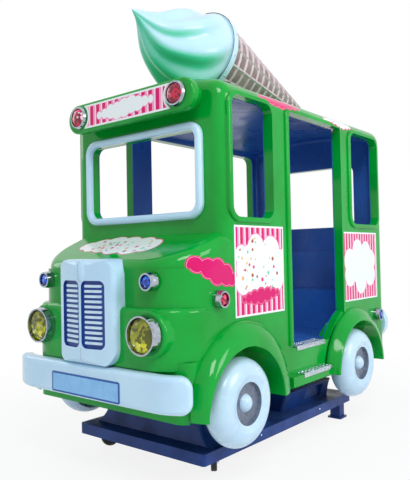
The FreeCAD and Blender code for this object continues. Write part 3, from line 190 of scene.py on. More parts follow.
ripple(tree, shader, place, ENAMEL_PEEL_MM, depth_mm=0.008)
dress(enamel, "base_tray", "rear_legs", "front_pedestal", "pivot_housing")

bright_rivet, tree, shader, place = new_finish("bright_aluminium_rivet", roughness=0.3, metallic=1.0)
tree.links.new(mottle(tree, place, 4.0, RIVET_BRIGHT, RIVET_SHADE, high=0.7), shader.inputs["Base Color"])
rivets = bmesh.new()
tray_low, tray_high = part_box("base_tray")
for y in RIVET_Y:
    button_head(rivets, (tray_high[0], y, RIVET_Z), (1, 0, 0), RIVET_R, RIVET_PROUD)
    button_head(rivets, (tray_low[0], y, RIVET_Z), (-1, 0, 0), RIVET_R, RIVET_PROUD)
set_piece("tray_rivets", rivets, "base", "zinc_steel", bright_rivet)


# The rocker frame is welded square tube in black enamel, bolted under the cabin floor. Its bearings
# and the motor are cast iron, brush painted grey over the sand-cast grain, and the cone stands on
# two black saddles.
FRAME_BLACK = "#17181B"
FRAME_GREY = "#2A2C31"
FRAME_PEEL_MM = 4.0
CASTING = "#4A4F57"
CASTING_DARK = "#363A41"
CAST_GRAIN_MM = 2.0

black_enamel, tree, shader, place = new_finish("black_enamel_on_tube", roughness=0.42)
tree.links.new(mottle(tree, place, 60.0, FRAME_BLACK, FRAME_GREY, 0.4, 0.7), shader.inputs["Base Color"])
ripple(tree, shader, place, FRAME_PEEL_MM, depth_mm=0.04)
dress(black_enamel, "rocker_frame", "cone_cradle")

cast_paint, tree, shader, place = new_finish("painted_iron_casting", roughness=0.55)
tree.links.new(mottle(tree, place, 25.0, CASTING, CASTING_DARK), shader.inputs["Base Color"])
ripple(tree, shader, place, CAST_GRAIN_MM, depth_mm=0.15)
dress(cast_paint, "pivot_bearings", "drive_motor")


# Two swivel castors carry the front of the base. Their plates and forks are pressed steel, bright
# zinc plated with a faint spangle, their wheels are moulded black rubber, and a hexagon nut closes
# each end of the axle.
ZINC = "#B9BEC4"
ZINC_SHADE = "#969DA6"
CASTOR_BLACK = "#1C1D20"
CASTOR_GREY = "#2B2C30"
SPANGLE_MM = 9.0
# The middle of each axle, and the way that it runs
AXLES = {"castor_left": ((0.283288, -0.505233, 0.042), (0.766044, 0.642788, 0.0)),
         "castor_right": ((-0.319917, -0.541862, 0.042), (-0.642788, 0.766044, 0.0))}
AXLE_HALF = 0.0188
NUT_R = 0.0065
NUT_T = 0.004
NUT_EDGE = 0.0004

zinc, tree, shader, place = new_finish("bright_zinc_plated_steel", roughness=0.32, metallic=1.0)
tree.links.new(mottle(tree, place, SPANGLE_MM, ZINC, ZINC_SHADE, 0.3, 0.7), shader.inputs["Base Color"])
uneven_gloss(tree, shader, place, SPANGLE_MM, polished=0.24, dull=0.42)
dress(zinc, "castor_plates", "castor_fork_left", "castor_fork_right")

castor_rubber, tree, shader, place = new_finish("moulded_black_rubber", roughness=0.62, ior=1.52)
tree.links.new(mottle(tree, place, 18.0, CASTOR_BLACK, CASTOR_GREY, 0.4, 0.75), shader.inputs["Base Color"])
ripple(tree, shader, place, 1.5, depth_mm=0.06)
dress(castor_rubber, "castor_wheel_left", "castor_wheel_right")


def round_edges(shape, edges, radius, segments):
    # Rounds or chamfers the given edges of a shape
    bmesh.ops.bevel(shape, geom=edges, offset=radius, segments=segments, profile=0.5, affect="EDGES",
                    material=-1)


for castor, (middle, along) in AXLES.items():
    nuts = bmesh.new()
    for way in (1, -1):
        outward = Vector(along) * way
        centre = stand_out(Vector(middle) + outward * (AXLE_HALF + NUT_T / 2.0), outward)
        bmesh.ops.create_cone(nuts, cap_ends=True, cap_tris=False, segments=6, radius1=NUT_R,
                              radius2=NUT_R, depth=NUT_T, matrix=centre)
    round_edges(nuts, nuts.edges[:], NUT_EDGE, 1)
    set_piece(castor + "_axle_nuts", nuts, castor, "zinc_steel", zinc)


# The cabin floor, both benches and the lining of the walls are laid up in navy gelcoat. Sitting and
# standing have dulled it a little, so its gloss is uneven and its rounded edges catch the light.
LINER_NAVY = "#2862B6"
LINER_NAVY_DARK = "#2255A2"
LINER_DRIFT_MM = 320.0
LINER_WAVE_MM = 90.0
SCUFF_MM = 110.0

liner_gelcoat, tree, shader, place = new_finish("navy_gelcoat_scuffed", roughness=0.3, mirror=0.3)
drift = mottle(tree, place, LINER_DRIFT_MM, LINER_NAVY, LINER_NAVY_DARK)
tree.links.new(drift, shader.inputs["Base Color"])
uneven_gloss(tree, shader, place, SCUFF_MM, polished=0.24, dull=0.38)
ripple(tree, shader, place, LINER_WAVE_MM, depth_mm=0.12)
dress(liner_gelcoat, "cabin_floor", "front_bench", "rear_bench", "cab_liner")


# The cab, nose, arches, steps and sign board are moulded fibreglass in high-gloss green gelcoat. It
# is a coloured resin polished by its mould, so its one sharp reflection bends in a long soft wave.
GREEN = "#00A438"
GREEN_DEEP = "#00942C"
GELCOAT_DRIFT_MM = 260.0
GELCOAT_POLISH_MM = 50.0
GELCOAT_WAVE_MM = 60.0


def gelcoat(name, colour, deep):
    # Polished gelcoat, and the socket of its colour for prints that are laid over it
    finish, tree, shader, place = new_finish(name, roughness=0.1, mirror=0.3)
    base = mottle(tree, place, GELCOAT_DRIFT_MM, colour, deep)
    tree.links.new(base, shader.inputs["Base Color"])
    uneven_gloss(tree, shader, place, GELCOAT_POLISH_MM, polished=0.07, dull=0.15)
    ripple(tree, shader, place, GELCOAT_WAVE_MM, depth_mm=0.25)
    return finish, tree, shader, place, base


green_gelcoat = gelcoat("green_gelcoat_polished", GREEN, GREEN_DEEP)[0]
dress(green_gelcoat, "front_wall", "rear_wall", "fender_front_left", "fender_front_right",
      "fender_rear_left", "fender_rear_right", "side_steps", "sign_board", "rear_window_frame")


# Plain cloud-shaped stickers of printed vinyl lie on the nose, on the bonnet and along the edge of
# the roof. They are left blank: magenta with a pale line inside, or white with a magenta rim and a
# scatter of small sprinkles. Being films, they follow the gelcoat and share its gloss.
MAGENTA = "#D8006C"
PALE_PINK = "#F7A0C4"
STICKER_WHITE = "#EDF3F4"
RIM_MM = 5.0
PALE_LINE_MM = (4.0, 5.75)
SPRINKLES = ("#E9B77E", "#7FD0A8", "#A4573A", "#E2366F")
SPRINKLE_PITCH_MM = 30.0
SPRINKLE_R_MM = 9.0
SPRINKLE_MARGIN_MM = 18.0
SIDE_FROM_X = 0.2
# Each cloud's puffs: where each is in the plane of the print, and its radius
NOSE_CLOUD = ((-0.665, 0.832, 0.055), (-0.715, 0.846, 0.042), (-0.610, 0.818, 0.046),
              (-0.765, 0.862, 0.034), (-0.575, 0.800, 0.030), (-0.552, 0.792, 0.018))
BONNET_Z = (0.87, 1.20)
BONNET_CLOUD = ((-0.03, -0.712, 0.088), (-0.12, -0.700, 0.082), (0.07, -0.720, 0.084),
                (-0.20, -0.704, 0.066), (0.14, -0.722, 0.062), (-0.26, -0.708, 0.042))
ROOF_EDGE_X = 0.438
ROOF_CLOUD_FRONT = ((-0.170, 1.580, 0.040), (-0.213, 1.579, 0.037), (-0.127, 1.581, 0.037),
                    (-0.254, 1.578, 0.033), (-0.086, 1.582, 0.033), (-0.293, 1.577, 0.027),
                    (-0.047, 1.582, 0.027), (-0.328, 1.576, 0.019), (-0.012, 1.582, 0.019))
ROOF_CLOUD_REAR = ((0.390, 1.580, 0.042), (0.345, 1.579, 0.039), (0.435, 1.580, 0.039),
                   (0.302, 1.578, 0.034), (0.478, 1.581, 0.034), (0.262, 1.578, 0.027),
                   (0.518, 1.581, 0.027))


def flat_spot(tree, place, across, up):
    # A point's two coordinates in the plane that a print is laid out in
    parts = add_node(tree, "SeparateXYZ", {}, {"Vector": place})
    spot = add_node(tree, "CombineXYZ", {}, {"X": parts.outputs[across], "Y": parts.outputs[up]})
    return spot.outputs["Vector"]


def cloud_gap(tree, spot, puffs):
    # How far a point lies outside a cloud of round puffs, less than nothing inside it
    nearest = None
    for across, up, radius in puffs:
        away = add_node(tree, "VectorMath", {"operation": "DISTANCE", 1: (across, up, 0.0)}, {0: spot})
        gap = add_node(tree, "Math", {"operation": "SUBTRACT", 1: radius}, {0: away.outputs["Value"]})
        if nearest is None:
            nearest = gap.outputs["Value"]
        else:
            nearest = add_node(tree, "Math", {"operation": "MINIMUM"},
                               {0: nearest, 1: gap.outputs["Value"]}).outputs["Value"]
    return nearest


def overlap_gap(tree, gap, other):
    # The gap to what two shapes share
    return add_node(tree, "Math", {"operation": "MAXIMUM"}, {0: gap, 1: other}).outputs["Value"]


def beyond(tree, value, limit):
    # A gap that ends where a value passes its limit
    return add_node(tree, "Math", {"operation": "SUBTRACT", 0: limit}, {1: value}).outputs["Value"]


def magenta_cloud(tree, below, gap):
    # A magenta sticker with a pale line a little inside its edge
    colour = print_over(tree, below, gap, 0.0, MAGENTA)
    colour = print_over(tree, colour, gap, -PALE_LINE_MM[0] / 1000.0, PALE_PINK)
    return print_over(tree, colour, gap, -PALE_LINE_MM[1] / 1000.0, MAGENTA)


def sprinkled_cloud(tree, below, spot, gap, rim):
    # A white sticker with a coloured rim, and small round sprinkles well inside it
    colour = print_over(tree, below, gap, 0.0, rim)
    colour = print_over(tree, colour, gap, -RIM_MM / 1000.0, STICKER_WHITE)
    cells = add_node(tree, "TexVoronoi", {"Scale": 1000.0 / SPRINKLE_PITCH_MM, "Randomness": 0.8},
                     {"Vector": spot})
    size = SPRINKLE_R_MM / SPRINKLE_PITCH_MM
    dot = add_node(tree, "MapRange", {"To Min": -size, "To Max": 1.0 - size},
                   {"Value": cells.outputs["Distance"]})
    well_in = add_node(tree, "Math", {"operation": "ADD", 1: SPRINKLE_MARGIN_MM / 1000.0}, {0: gap})
    inside = overlap_gap(tree, dot.outputs["Result"], well_in.outputs["Value"])
    pick = add_node(tree, "SeparateColor", {}, {"Color": cells.outputs["Color"]}).outputs["Red"]
    for i, sprinkle in enumerate(SPRINKLES):
        chosen = overlap_gap(tree, inside, beyond(tree, pick, i / len(SPRINKLES)))
        colour = print_over(tree, colour, chosen, 0.0, sprinkle)
    return colour


stickered_gelcoat, tree, shader, place, base = gelcoat("green_gelcoat_with_stickers", GREEN, GREEN_DEEP)
parts = add_node(tree, "SeparateXYZ", {}, {"Vector": place})
out = add_node(tree, "Math", {"operation": "ABSOLUTE"}, {0: parts.outputs["X"]}).outputs["Value"]
on_side = beyond(tree, out, SIDE_FROM_X)
side_spot = flat_spot(tree, place, "Y", "Z")
base = magenta_cloud(tree, base, overlap_gap(tree, cloud_gap(tree, side_spot, NOSE_CLOUD), on_side))
# The roof's clouds are laid out up the side and then inwards over the roof's edge
inward = add_node(tree, "Math", {"operation": "SUBTRACT", 0: ROOF_EDGE_X, "use_clamp": True}, {1: out})
rolled = add_node(tree, "Math", {"operation": "ADD"}, {0: parts.outputs["Z"], 1: inward.outputs["Value"]})
roof_spot = add_node(tree, "CombineXYZ", {},
                     {"X": parts.outputs["Y"], "Y": rolled.outputs["Value"]}).outputs["Vector"]
base = magenta_cloud(tree, base, overlap_gap(tree, cloud_gap(tree, roof_spot, ROOF_CLOUD_FRONT), on_side))
rear_gap = overlap_gap(tree, cloud_gap(tree, roof_spot, ROOF_CLOUD_REAR), on_side)
base = sprinkled_cloud(tree, base, roof_spot, rear_gap, MAGENTA)
top_spot = flat_spot(tree, place, "X", "Y")
under_roof = add_node(tree, "Math", {"operation": "SUBTRACT", 1: BONNET_Z[1]}, {0: parts.outputs["Z"]})
on_bonnet = overlap_gap(tree, beyond(tree, parts.outputs["Z"], BONNET_Z[0]), under_roof.outputs["Value"])
top_gap = overlap_gap(tree, cloud_gap(tree, top_spot, BONNET_CLOUD), on_bonnet)
base = sprinkled_cloud(tree, base, top_spot, top_gap, MAGENTA)
tree.links.new(base, shader.inputs["Base Color"])
dress(stickered_gelcoat, "nose_shell", "body_side_left", "body_side_right", "roof_shell")


# The windscreen frame, grille surround and bumpers are separate mouldings in white gelcoat with a
# cool cast. The surround is moulded in two halves, so a fine parting line runs up its ridge, and
# the walls of its two pockets are painted navy.
WHITE = "#C8E7FA"
WHITE_COOL = "#BADDF5"
PARTING_LINE = "#7F97AC"
LINE_HALF = 0.0009
POCKETS_X = (0.0068, 0.1262)
POCKETS_Z = (0.545, 0.806)
POCKETS_MID_Z = (POCKETS_Z[0] + POCKETS_Z[1]) / 2.0
PAINT_OVER = 0.001
WALL_TURNED = 0.5
GRILLE_NAVY = "#27489A"

white_gelcoat = gelcoat("white_gelcoat_polished", WHITE, WHITE_COOL)[0]
dress(white_gelcoat, "windscreen_frame", "front_bumper", "rear_bumper")

ridged_gelcoat, tree, shader, place, base = gelcoat("white_gelcoat_with_parting_line", WHITE, WHITE_COOL)
parts = add_node(tree, "SeparateXYZ", {}, {"Vector": place})
out = add_node(tree, "Math", {"operation": "ABSOLUTE"}, {0: parts.outputs["X"]}).outputs["Value"]
rise = add_node(tree, "Math", {"operation": "SUBTRACT", 1: POCKETS_MID_Z}, {0: parts.outputs["Z"]})
span = add_node(tree, "Math", {"operation": "ABSOLUTE"}, {0: rise.outputs["Value"]}).outputs["Value"]
past_pockets = beyond(tree, span, POCKETS_Z[1] - POCKETS_MID_Z)
base = print_over(tree, base, overlap_gap(tree, out, past_pockets), LINE_HALF, PARTING_LINE)
facing = add_node(tree, "NewGeometry", {}, {})
turned = add_node(tree, "SeparateXYZ", {}, {"Vector": facing.outputs["Normal"]})
level = add_node(tree, "Math", {"operation": "ABSOLUTE"}, {0: turned.outputs["Y"]}).outputs["Value"]
# A pocket's walls are its faces that are turned away from the front
wall = beyond(tree, out, POCKETS_X[0])
for value, limit in ((out, POCKETS_X[1]), (span, POCKETS_Z[1] - POCKETS_MID_Z + PAINT_OVER),
                     (level, WALL_TURNED)):
    gap = add_node(tree, "Math", {"operation": "SUBTRACT", 1: limit}, {0: value})
    wall = overlap_gap(tree, wall, gap.outputs["Value"])
base = print_over(tree, base, wall, 0.0, GRILLE_NAVY)
tree.links.new(base, shader.inputs["Base Color"])
dress(ridged_gelcoat, "grille_surround")


# The grille is a navy plastic panel in each opening of the surround, swept back with its bow, with
# twelve rounded bars moulded on it. Panel and bars are painted in a soft satin with a roller texture.
GRILLE_NAVY_DARK = "#213F8A"
BAR_WHITE = "#D2ECFA"
BAR_SHADE = "#C2E0F3"
ROLLER_MM = 6.0
PANEL_FRONT = -0.9555
PANEL_SWEEP = 0.145
PANEL_THICK = 0.006
PANEL_CORNER = 0.020
PANEL_FREE = 0.0005
BARS_ACROSS = (0.0205, 0.1060)
BARS_UP = (0.5660, 0.7850)
BAR_COUNT = 12
BAR_TALL = 0.0100
BAR_DEEP = 0.005
BAR_SUNK = 0.0005
BAR_END_R = 0.0042


def block(into, at, size):
    # A rectangular block with sharp edges, centred at a point
    bmesh.ops.create_cube(into, size=1.0, matrix=Matrix.Translation(at) @ Matrix.Diagonal((*size, 1.0)))


def edges_along_y(shape, shortest):
    # The edges of a shape's blocks that run from their front to their back
    return [edge for edge in shape.edges if abs(edge.verts[0].co.y - edge.verts[1].co.y) > shortest]


grille_paint, tree, shader, place = new_finish("painted_grille_panel", roughness=0.3, mirror=0.3)
tree.links.new(mottle(tree, place, 40.0, GRILLE_NAVY, GRILLE_NAVY_DARK), shader.inputs["Base Color"])
ripple(tree, shader, place, ROLLER_MM, depth_mm=0.04)
bar_paint, tree, shader, place = new_finish("painted_grille_bars", roughness=0.3, mirror=0.3)
tree.links.new(mottle(tree, place, 30.0, BAR_WHITE, BAR_SHADE), shader.inputs["Base Color"])
ripple(tree, shader, place, ROLLER_MM, depth_mm=0.04)

panels = bmesh.new()
mid_x = (POCKETS_X[0] + POCKETS_X[1]) / 2.0
panel_wide = POCKETS_X[1] - POCKETS_X[0] - 2.0 * PANEL_FREE
for side in (1, -1):
    block(panels, (side * mid_x, PANEL_FRONT + PANEL_THICK / 2.0, POCKETS_MID_Z),
          (panel_wide, PANEL_THICK, POCKETS_Z[1] - POCKETS_Z[0]))
round_edges(panels, edges_along_y(panels, PANEL_THICK / 2.0), PANEL_CORNER, 6)
bars = bmesh.new()
for side in (1, -1):
    for i in range(BAR_COUNT):
        up = BARS_UP[0] + i * (BARS_UP[1] - BARS_UP[0]) / (BAR_COUNT - 1)
        block(bars, (side * sum(BARS_ACROSS) / 2.0, PANEL_FRONT - BAR_DEEP / 2.0 + BAR_SUNK, up),
              (BARS_ACROSS[1] - BARS_ACROSS[0], BAR_DEEP, BAR_TALL))
round_edges(bars, edges_along_y(bars, BAR_DEEP / 2.0), BAR_END_R, 4)
for face in bars.faces:
    face.material_index = 1
moulded = bpy.data.meshes.new("grille_bars")
bars.to_mesh(moulded)
bars.free()
panels.from_mesh(moulded)
bpy.data.meshes.remove(moulded)
for vert in panels.verts:
    vert.co.y += PANEL_SWEEP * (abs(vert.co.x) - POCKETS_X[0])
piece = set_piece("grille_panels", panels, "truck", "navy_grille", grille_paint, bar_paint)
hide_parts("grille_insert")


# The number plate is a thin pale blue plastic plate with a darker line printed round it. It is left
# blank, and its gloss is worn a little.
PLATE_BLUE = "#8EC6F4"
PLATE_BLUE_SHADE = "#82BAEB"
PLATE_LINE = "#1F57A4"
PLATE_EDGE = 0.007
PLATE_WEAR_MM = 25.0


def outside_rectangle(tree, place, across, up, low, high, margin):
    # How far a point lies outside a rectangle drawn a margin inside two corners
    parts = add_node(tree, "SeparateXYZ", {}, {"Vector": place})
    gaps = []
    for axis, a, b in ((across, low[0], high[0]), (up, low[1], high[1])):
        off = add_node(tree, "Math", {"operation": "SUBTRACT", 1: (a + b) / 2.0}, {0: parts.outputs[axis]})
        span = add_node(tree, "Math", {"operation": "ABSOLUTE"}, {0: off.outputs["Value"]})
        gaps.append(add_node(tree, "Math", {"operation": "SUBTRACT", 1: (b - a) / 2.0 - margin},
                             {0: span.outputs["Value"]}).outputs["Value"])
    return overlap_gap(tree, gaps[0], gaps[1])


plate_paint, tree, shader, place = new_finish("printed_blank_plate", roughness=0.25, mirror=0.3)
low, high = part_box("number_plate")
field = mottle(tree, place, 70.0, PLATE_BLUE, PLATE_BLUE_SHADE)
gap = outside_rectangle(tree, place, "X", "Z", (low[0], low[2]), (high[0], high[2]), PLATE_EDGE)
tree.links.new(print_over(tree, PLATE_LINE, gap, 0.0, field), shader.inputs["Base Color"])
uneven_gloss(tree, shader, place, PLATE_WEAR_MM, polished=0.18, dull=0.34)
dress(plate_paint, "number_plate")


# The wheels are one white moulding each, in glossy polyethylene with a faint flow mottle, and a
# grey ring is painted between the tyre and the cap.
TYRE_WHITE = "#C8E3F6"
TYRE_SHADE = "#B9D9F1"
RING_GREY = "#6C7789"
RING_SHADE = "#5B6679"
RING_IN = 0.036
RING_OUT = 0.083
FLOW_MM = 120.0

for end in ("front", "rear"):
    for side in ("left", "right"):
        wheel = "wheel_" + end + "_" + side
        low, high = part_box(wheel)
        hub = Vector(((low[0] + high[0]) / 2, (low[1] + high[1]) / 2, (low[2] + high[2]) / 2))
        wheel_paint, tree, shader, place = new_finish(wheel + "_moulding", roughness=0.22, ior=1.51)
        centred = add_node(tree, "Mapping", {"Location": -hub}, {"Vector": place})
        flat = add_node(tree, "VectorMath", {"operation": "MULTIPLY", 1: (0, 1, 1)},
                        {0: centred.outputs["Vector"]})
        out = add_node(tree, "VectorMath", {"operation": "LENGTH"}, {0: flat.outputs["Vector"]})
        out = out.outputs["Value"]
        tyre = mottle(tree, place, FLOW_MM, TYRE_WHITE, TYRE_SHADE)
        ring = mottle(tree, place, 20.0, RING_GREY, RING_SHADE)
        painted = print_over(tree, print_over(tree, tyre, out, RING_OUT, ring), out, RING_IN, tyre)
        tree.links.new(painted, shader.inputs["Base Color"])
        uneven_gloss(tree, shader, place, 45.0, polished=0.16, dull=0.3)
        ripple(tree, shader, place, 30.0, depth_mm=0.1)
        dress(wheel_paint, wheel)


# Two tread plates on each side are folded from bright aluminium, ribbed along the top under broad
# rounded bars, with a double row of lozenges pressed out of the nosing so that small shoes don't slip.
TREAD_BRIGHT = "#DCE6EF"
TREAD_SHADE = "#9DA8B4"
# Each tread: where its nosing and its top are, and how deep it is
TREADS = ((0.4540, 0.4703, 0.062), (0.4890, 0.3523, 0.038))
TREAD_Y = (-0.10015, 0.16985)
TREAD_BARS = 8
BAR_WIDE = 0.016
BAR_PROUD = 0.005
BAR_OVERHANG = 0.001
BAR_EDGE = 0.0022
LOZENGES = 15
# Each row of lozenges: its shift along the nosing, in pitches, and its drop below the top
LOZENGE_ROWS = ((0.25, 0.0030), (0.75, 0.0093))
LOZENGE_LONG = 0.0062
LOZENGE_TALL = 0.0022
LOZENGE_PROUD = 0.0018

bright_tread, tree, shader, place = new_finish("ribbed_aluminium_tread", roughness=0.14, metallic=1.0)
tree.links.new(mottle(tree, place, 8.0, TREAD_BRIGHT, TREAD_SHADE, high=0.7), shader.inputs["Base Color"])
uneven_gloss(tree, shader, place, 6.0, polished=0.08, dull=0.26)
dress(bright_tread, "step_treads")

bars = bmesh.new()
pitch = (TREAD_Y[1] - TREAD_Y[0]) / TREAD_BARS
for nosing_x, top, deep in TREADS:
    for side in (1, -1):
        for i in range(TREAD_BARS):
            at = (side * (nosing_x - deep / 2.0 + BAR_OVERHANG), TREAD_Y[0] + (i + 0.5) * pitch,
                  top + BAR_PROUD / 2.0 - BAR_SUNK)
            block(bars, at, (deep, BAR_WIDE, BAR_PROUD))
round_edges(bars, bars.edges[:], BAR_EDGE, 3)
set_piece("tread_bars", bars, "truck", "tread_metal", bright_tread, smooth=True)

lozenges = bmesh.new()
pitch = (TREAD_Y[1] - TREAD_Y[0]) / LOZENGES
for nosing_x, top, deep in TREADS:
    for side in (1, -1):
        for i in range(LOZENGES):
            for along, down in LOZENGE_ROWS:
                stand = Matrix.Translation((side * (nosing_x + LOZENGE_PROUD / 2.0),
                                            TREAD_Y[0] + (i + along) * pitch, top - down))
                turned = Matrix.Rotation(math.radians(90.0 * side), 4, "Y")
                stretched = Matrix.Diagonal((LOZENGE_TALL, LOZENGE_LONG, LOZENGE_PROUD, 1.0))
                bmesh.ops.create_cone(lozenges, cap_ends=True, cap_tris=False, segments=4, radius1=1.0,
                                      radius2=0.35, depth=1.0, matrix=stand @ turned @ stretched)
set_piece("tread_lozenges", lozenges, "truck", "tread_metal", bright_tread)


# The lamps are cut-glass domes of tinted acrylic in spun brass rims, chrome plated: yellow for the
# headlights, blue for the markers, and red beside the sign and on the nose. Each dome is cut in
# flat facets. The facets' flashes of light and dark are painted into the lens colour as lighter and
# darker cells, with painted glints, and the headlights also have painted shade towards their tops.
CHROME = "#B4BCC6"
CHROME_SHADE = "#8C96A4"
FACET_MM = 13.0
# The shares of the lens cells that get painted shade, painted light and a painted glint
SHADED_CELLS_UNDER = 0.42
LIT_CELLS_OVER = 0.78
PAINTED_GLINTS_OVER = 0.93
# Each lens's colours: its painted lit cells, its tint, its painted shaded cells and its painted glints
LENS_YELLOWS = ("#DEDC1C", "#AFB400", "#5E6204", "#EFEE96")
LENS_BLUES = ("#4E9BFF", "#1565E6", "#0B2F9C", "#CFE4FF")
LENS_REDS = ("#F04A74", "#CF1444", "#7E0A2C", "#FFD9EA")
# Painted shade in the upper part of each headlight: its colour, where it rises about the lamp's middle, and
# its most
HEADLIGHT_TOP_SHADE = "#474B0C"
TOP_SHADE_RISE = (-0.03, 0.02)
TOP_SHADE_MOST = 0.6
# Each lamp: where its dome meets its rim, the way it faces, its radius, its depth and its crown,
# and how finely it is cut
HEADLIGHTS = [((0.3105, -0.90645, 0.611), (0, -1, 0), 0.0647, 0.024, 0.016, 3)]
BLUE_LAMPS = [((0.310, -0.87945, 0.803), (0, -1, 0), 0.0257, 0.0198, 0.0132, 2),
              ((0.4503, 0.77485, 0.541), (1, 0, 0), 0.0247, 0.0198, 0.0132, 2)]
RED_LAMPS = [((0.298, -0.71345, 1.533), (0, -1, 0), 0.0407, 0.0096, 0.012, 3),
             ((0.4503, -0.66515, 0.728), (1, 0, 0), 0.0247, 0.0198, 0.0132, 2)]

chrome, tree, shader, place = new_finish("chrome_plated_rim", roughness=0.07, metallic=1.0)
tree.links.new(mottle(tree, place, 12.0, CHROME, CHROME_SHADE, 0.4, 0.8), shader.inputs["Base Color"])
uneven_gloss(tree, shader, place, 20.0, polished=0.04, dull=0.12)
dress(chrome, "lamp_rims")


def lens_acrylic(name, lit_cell_colour, colour, deep, painted_glint_colour):
    # Tinted acrylic with painted light and shade: each cell is painted in a lighter or darker depth of the
    # tint, and some cells get a painted glint, for the flashes of the facets
    finish, tree, shader, place = new_finish(name, roughness=0.06, ior=1.49)
    cells = add_node(tree, "TexVoronoi", {"Scale": 1000.0 / FACET_MM}, {"Vector": place})
    shade = add_node(tree, "SeparateColor", {}, {"Color": cells.outputs["Color"]})
    tint = print_over(tree, colour, shade.outputs["Red"], SHADED_CELLS_UNDER, deep)
    tint = print_over(tree, tint, beyond(tree, shade.outputs["Red"], LIT_CELLS_OVER), 0.0, lit_cell_colour)
    tint = print_over(tree, tint, beyond(tree, shade.outputs["Green"], PAINTED_GLINTS_OVER), 0.0, painted_glint_colour)
    tree.links.new(tint, shader.inputs["Base Color"])
    ripple(tree, shader, place, 4.0, depth_mm=0.25)
    return finish, tree, shader, place, tint


def cut_domes(name, lamps, replaced, slot, finish):
    # Domes cut in triangular facets, one for each lamp and its mirror image
    domes = bmesh.new()
    cut = bpy.data.meshes.new(name + "_cut")
    for seat, outward, radius, deep, crown, fineness in lamps:
        for side in (1, -1):
            dome = bmesh.new()
            bmesh.ops.create_icosphere(dome, subdivisions=fineness, radius=radius)
            above = [v for v in dome.verts if v.co.z > 0.0]
            below = [v for v in dome.verts if v.co.z <= 0.0]
            bmesh.ops.scale(dome, vec=(1, 1, crown / radius), verts=above)
            bmesh.ops.scale(dome, vec=(1, 1, deep / radius), verts=below)
            facing = Vector((side * outward[0], outward[1], outward[2]))
            at = Vector((side * seat[0], seat[1], seat[2])) + facing * deep
            bmesh.ops.transform(dome, matrix=stand_out(at, facing), verts=dome.verts[:])
            dome.to_mesh(cut)
            dome.free()
            domes.from_mesh(cut)
    bpy.data.meshes.remove(cut)
    piece = set_piece(name, domes, "truck", slot, finish)
    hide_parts(replaced)


yellow_lens, tree, shader, place, tint = lens_acrylic("yellow_acrylic_lens", *LENS_YELLOWS)
parts = add_node(tree, "SeparateXYZ", {}, {"Vector": place})
# Painted shade: each headlight is darkened towards its top
mid_z = HEADLIGHTS[0][0][2]
shade_toward_top = add_node(tree, "MapRange", {"From Min": mid_z + TOP_SHADE_RISE[0], "From Max": mid_z + TOP_SHADE_RISE[1],
                                    "To Max": TOP_SHADE_MOST}, {"Value": parts.outputs["Z"]})
shaded_toward_top = add_node(tree, "Mix", {"data_type": "RGBA", 7: linear(HEADLIGHT_TOP_SHADE)},
                  {0: shade_toward_top.outputs["Result"], 6: tint})
tree.links.new(shaded_toward_top.outputs[2], shader.inputs["Base Color"])
cut_domes("headlight_cut_lenses", HEADLIGHTS, "headlight_lenses", "yellow_lens", yellow_lens)
blue_lens = lens_acrylic("blue_acrylic_lens", *LENS_BLUES)[0]
cut_domes("marker_cut_lenses", BLUE_LAMPS, "blue_lamps", "blue_lens", blue_lens)
red_lens = lens_acrylic("red_acrylic_lens", *LENS_REDS)[0]
cut_domes("sign_cut_lenses", RED_LAMPS, "red_lamps", "red_lens", red_lens)


# The panels are vinyl printed on thin board: magenta and pale pink stripes in a white margin, with
# a white cloud on each. The sign panel's ends are hollowed round its lamps, and the front side
# panel's cloud has sprinkles and a blank magenta cloud below it.
STRIPE_WHITE = "#F6E4EC"
CLOUD_PINK = "#F48FBF"
CLOUD_LINE_MM = 4.0
PINK_FROM = 0.52
WHITE_FROM = 0.80
MARGIN = 0.008
SIDE_PANELS_X = 0.44
SIGN_STRIPES_MM = 41.0
FRONT_STRIPES_MM = 38.0
REAR_STRIPES_MM = 31.0
SIGN_CORNERS = ((-0.264, 1.479), (0.264, 1.583))
SIGN_HOLLOW = (0.298, 1.533, 0.069)
FRONT_CORNERS = ((-0.55715, 0.645), (-0.19715, 1.014))
REAR_CORNERS = ((0.38685, 0.638), (0.79985, 1.003))
SIGN_CLOUD = ((0.0, 1.531, 0.044), (-0.045, 1.525, 0.041), (0.045, 1.537, 0.041),
              (-0.085, 1.528, 0.035), (0.085, 1.534, 0.035), (-0.125, 1.525, 0.025),
              (0.125, 1.537, 0.025), (-0.160, 1.524, 0.020), (0.160, 1.538, 0.020))
FRONT_CLOUD = ((-0.409, 0.922, 0.062), (-0.299, 0.905, 0.072), (-0.511, 0.893, 0.046),
               (-0.223, 0.868, 0.052), (-0.450, 0.840, 0.100), (-0.300, 0.830, 0.100),
               (-0.500, 0.785, 0.056), (-0.380, 0.770, 0.080), (-0.262, 0.790, 0.062))
LOW_CLOUD = ((-0.377, 0.722, 0.038), (-0.425, 0.719, 0.034), (-0.329, 0.725, 0.034),
             (-0.468, 0.716, 0.026), (-0.286, 0.728, 0.026), (-0.500, 0.714, 0.018),
             (-0.254, 0.730, 0.018))
REAR_CLOUD = ((0.555, 0.905, 0.064), (0.658, 0.898, 0.060), (0.462, 0.850, 0.068),
              (0.590, 0.820, 0.112), (0.718, 0.850, 0.062), (0.462, 0.775, 0.064),
              (0.590, 0.735, 0.068), (0.710, 0.770, 0.066))


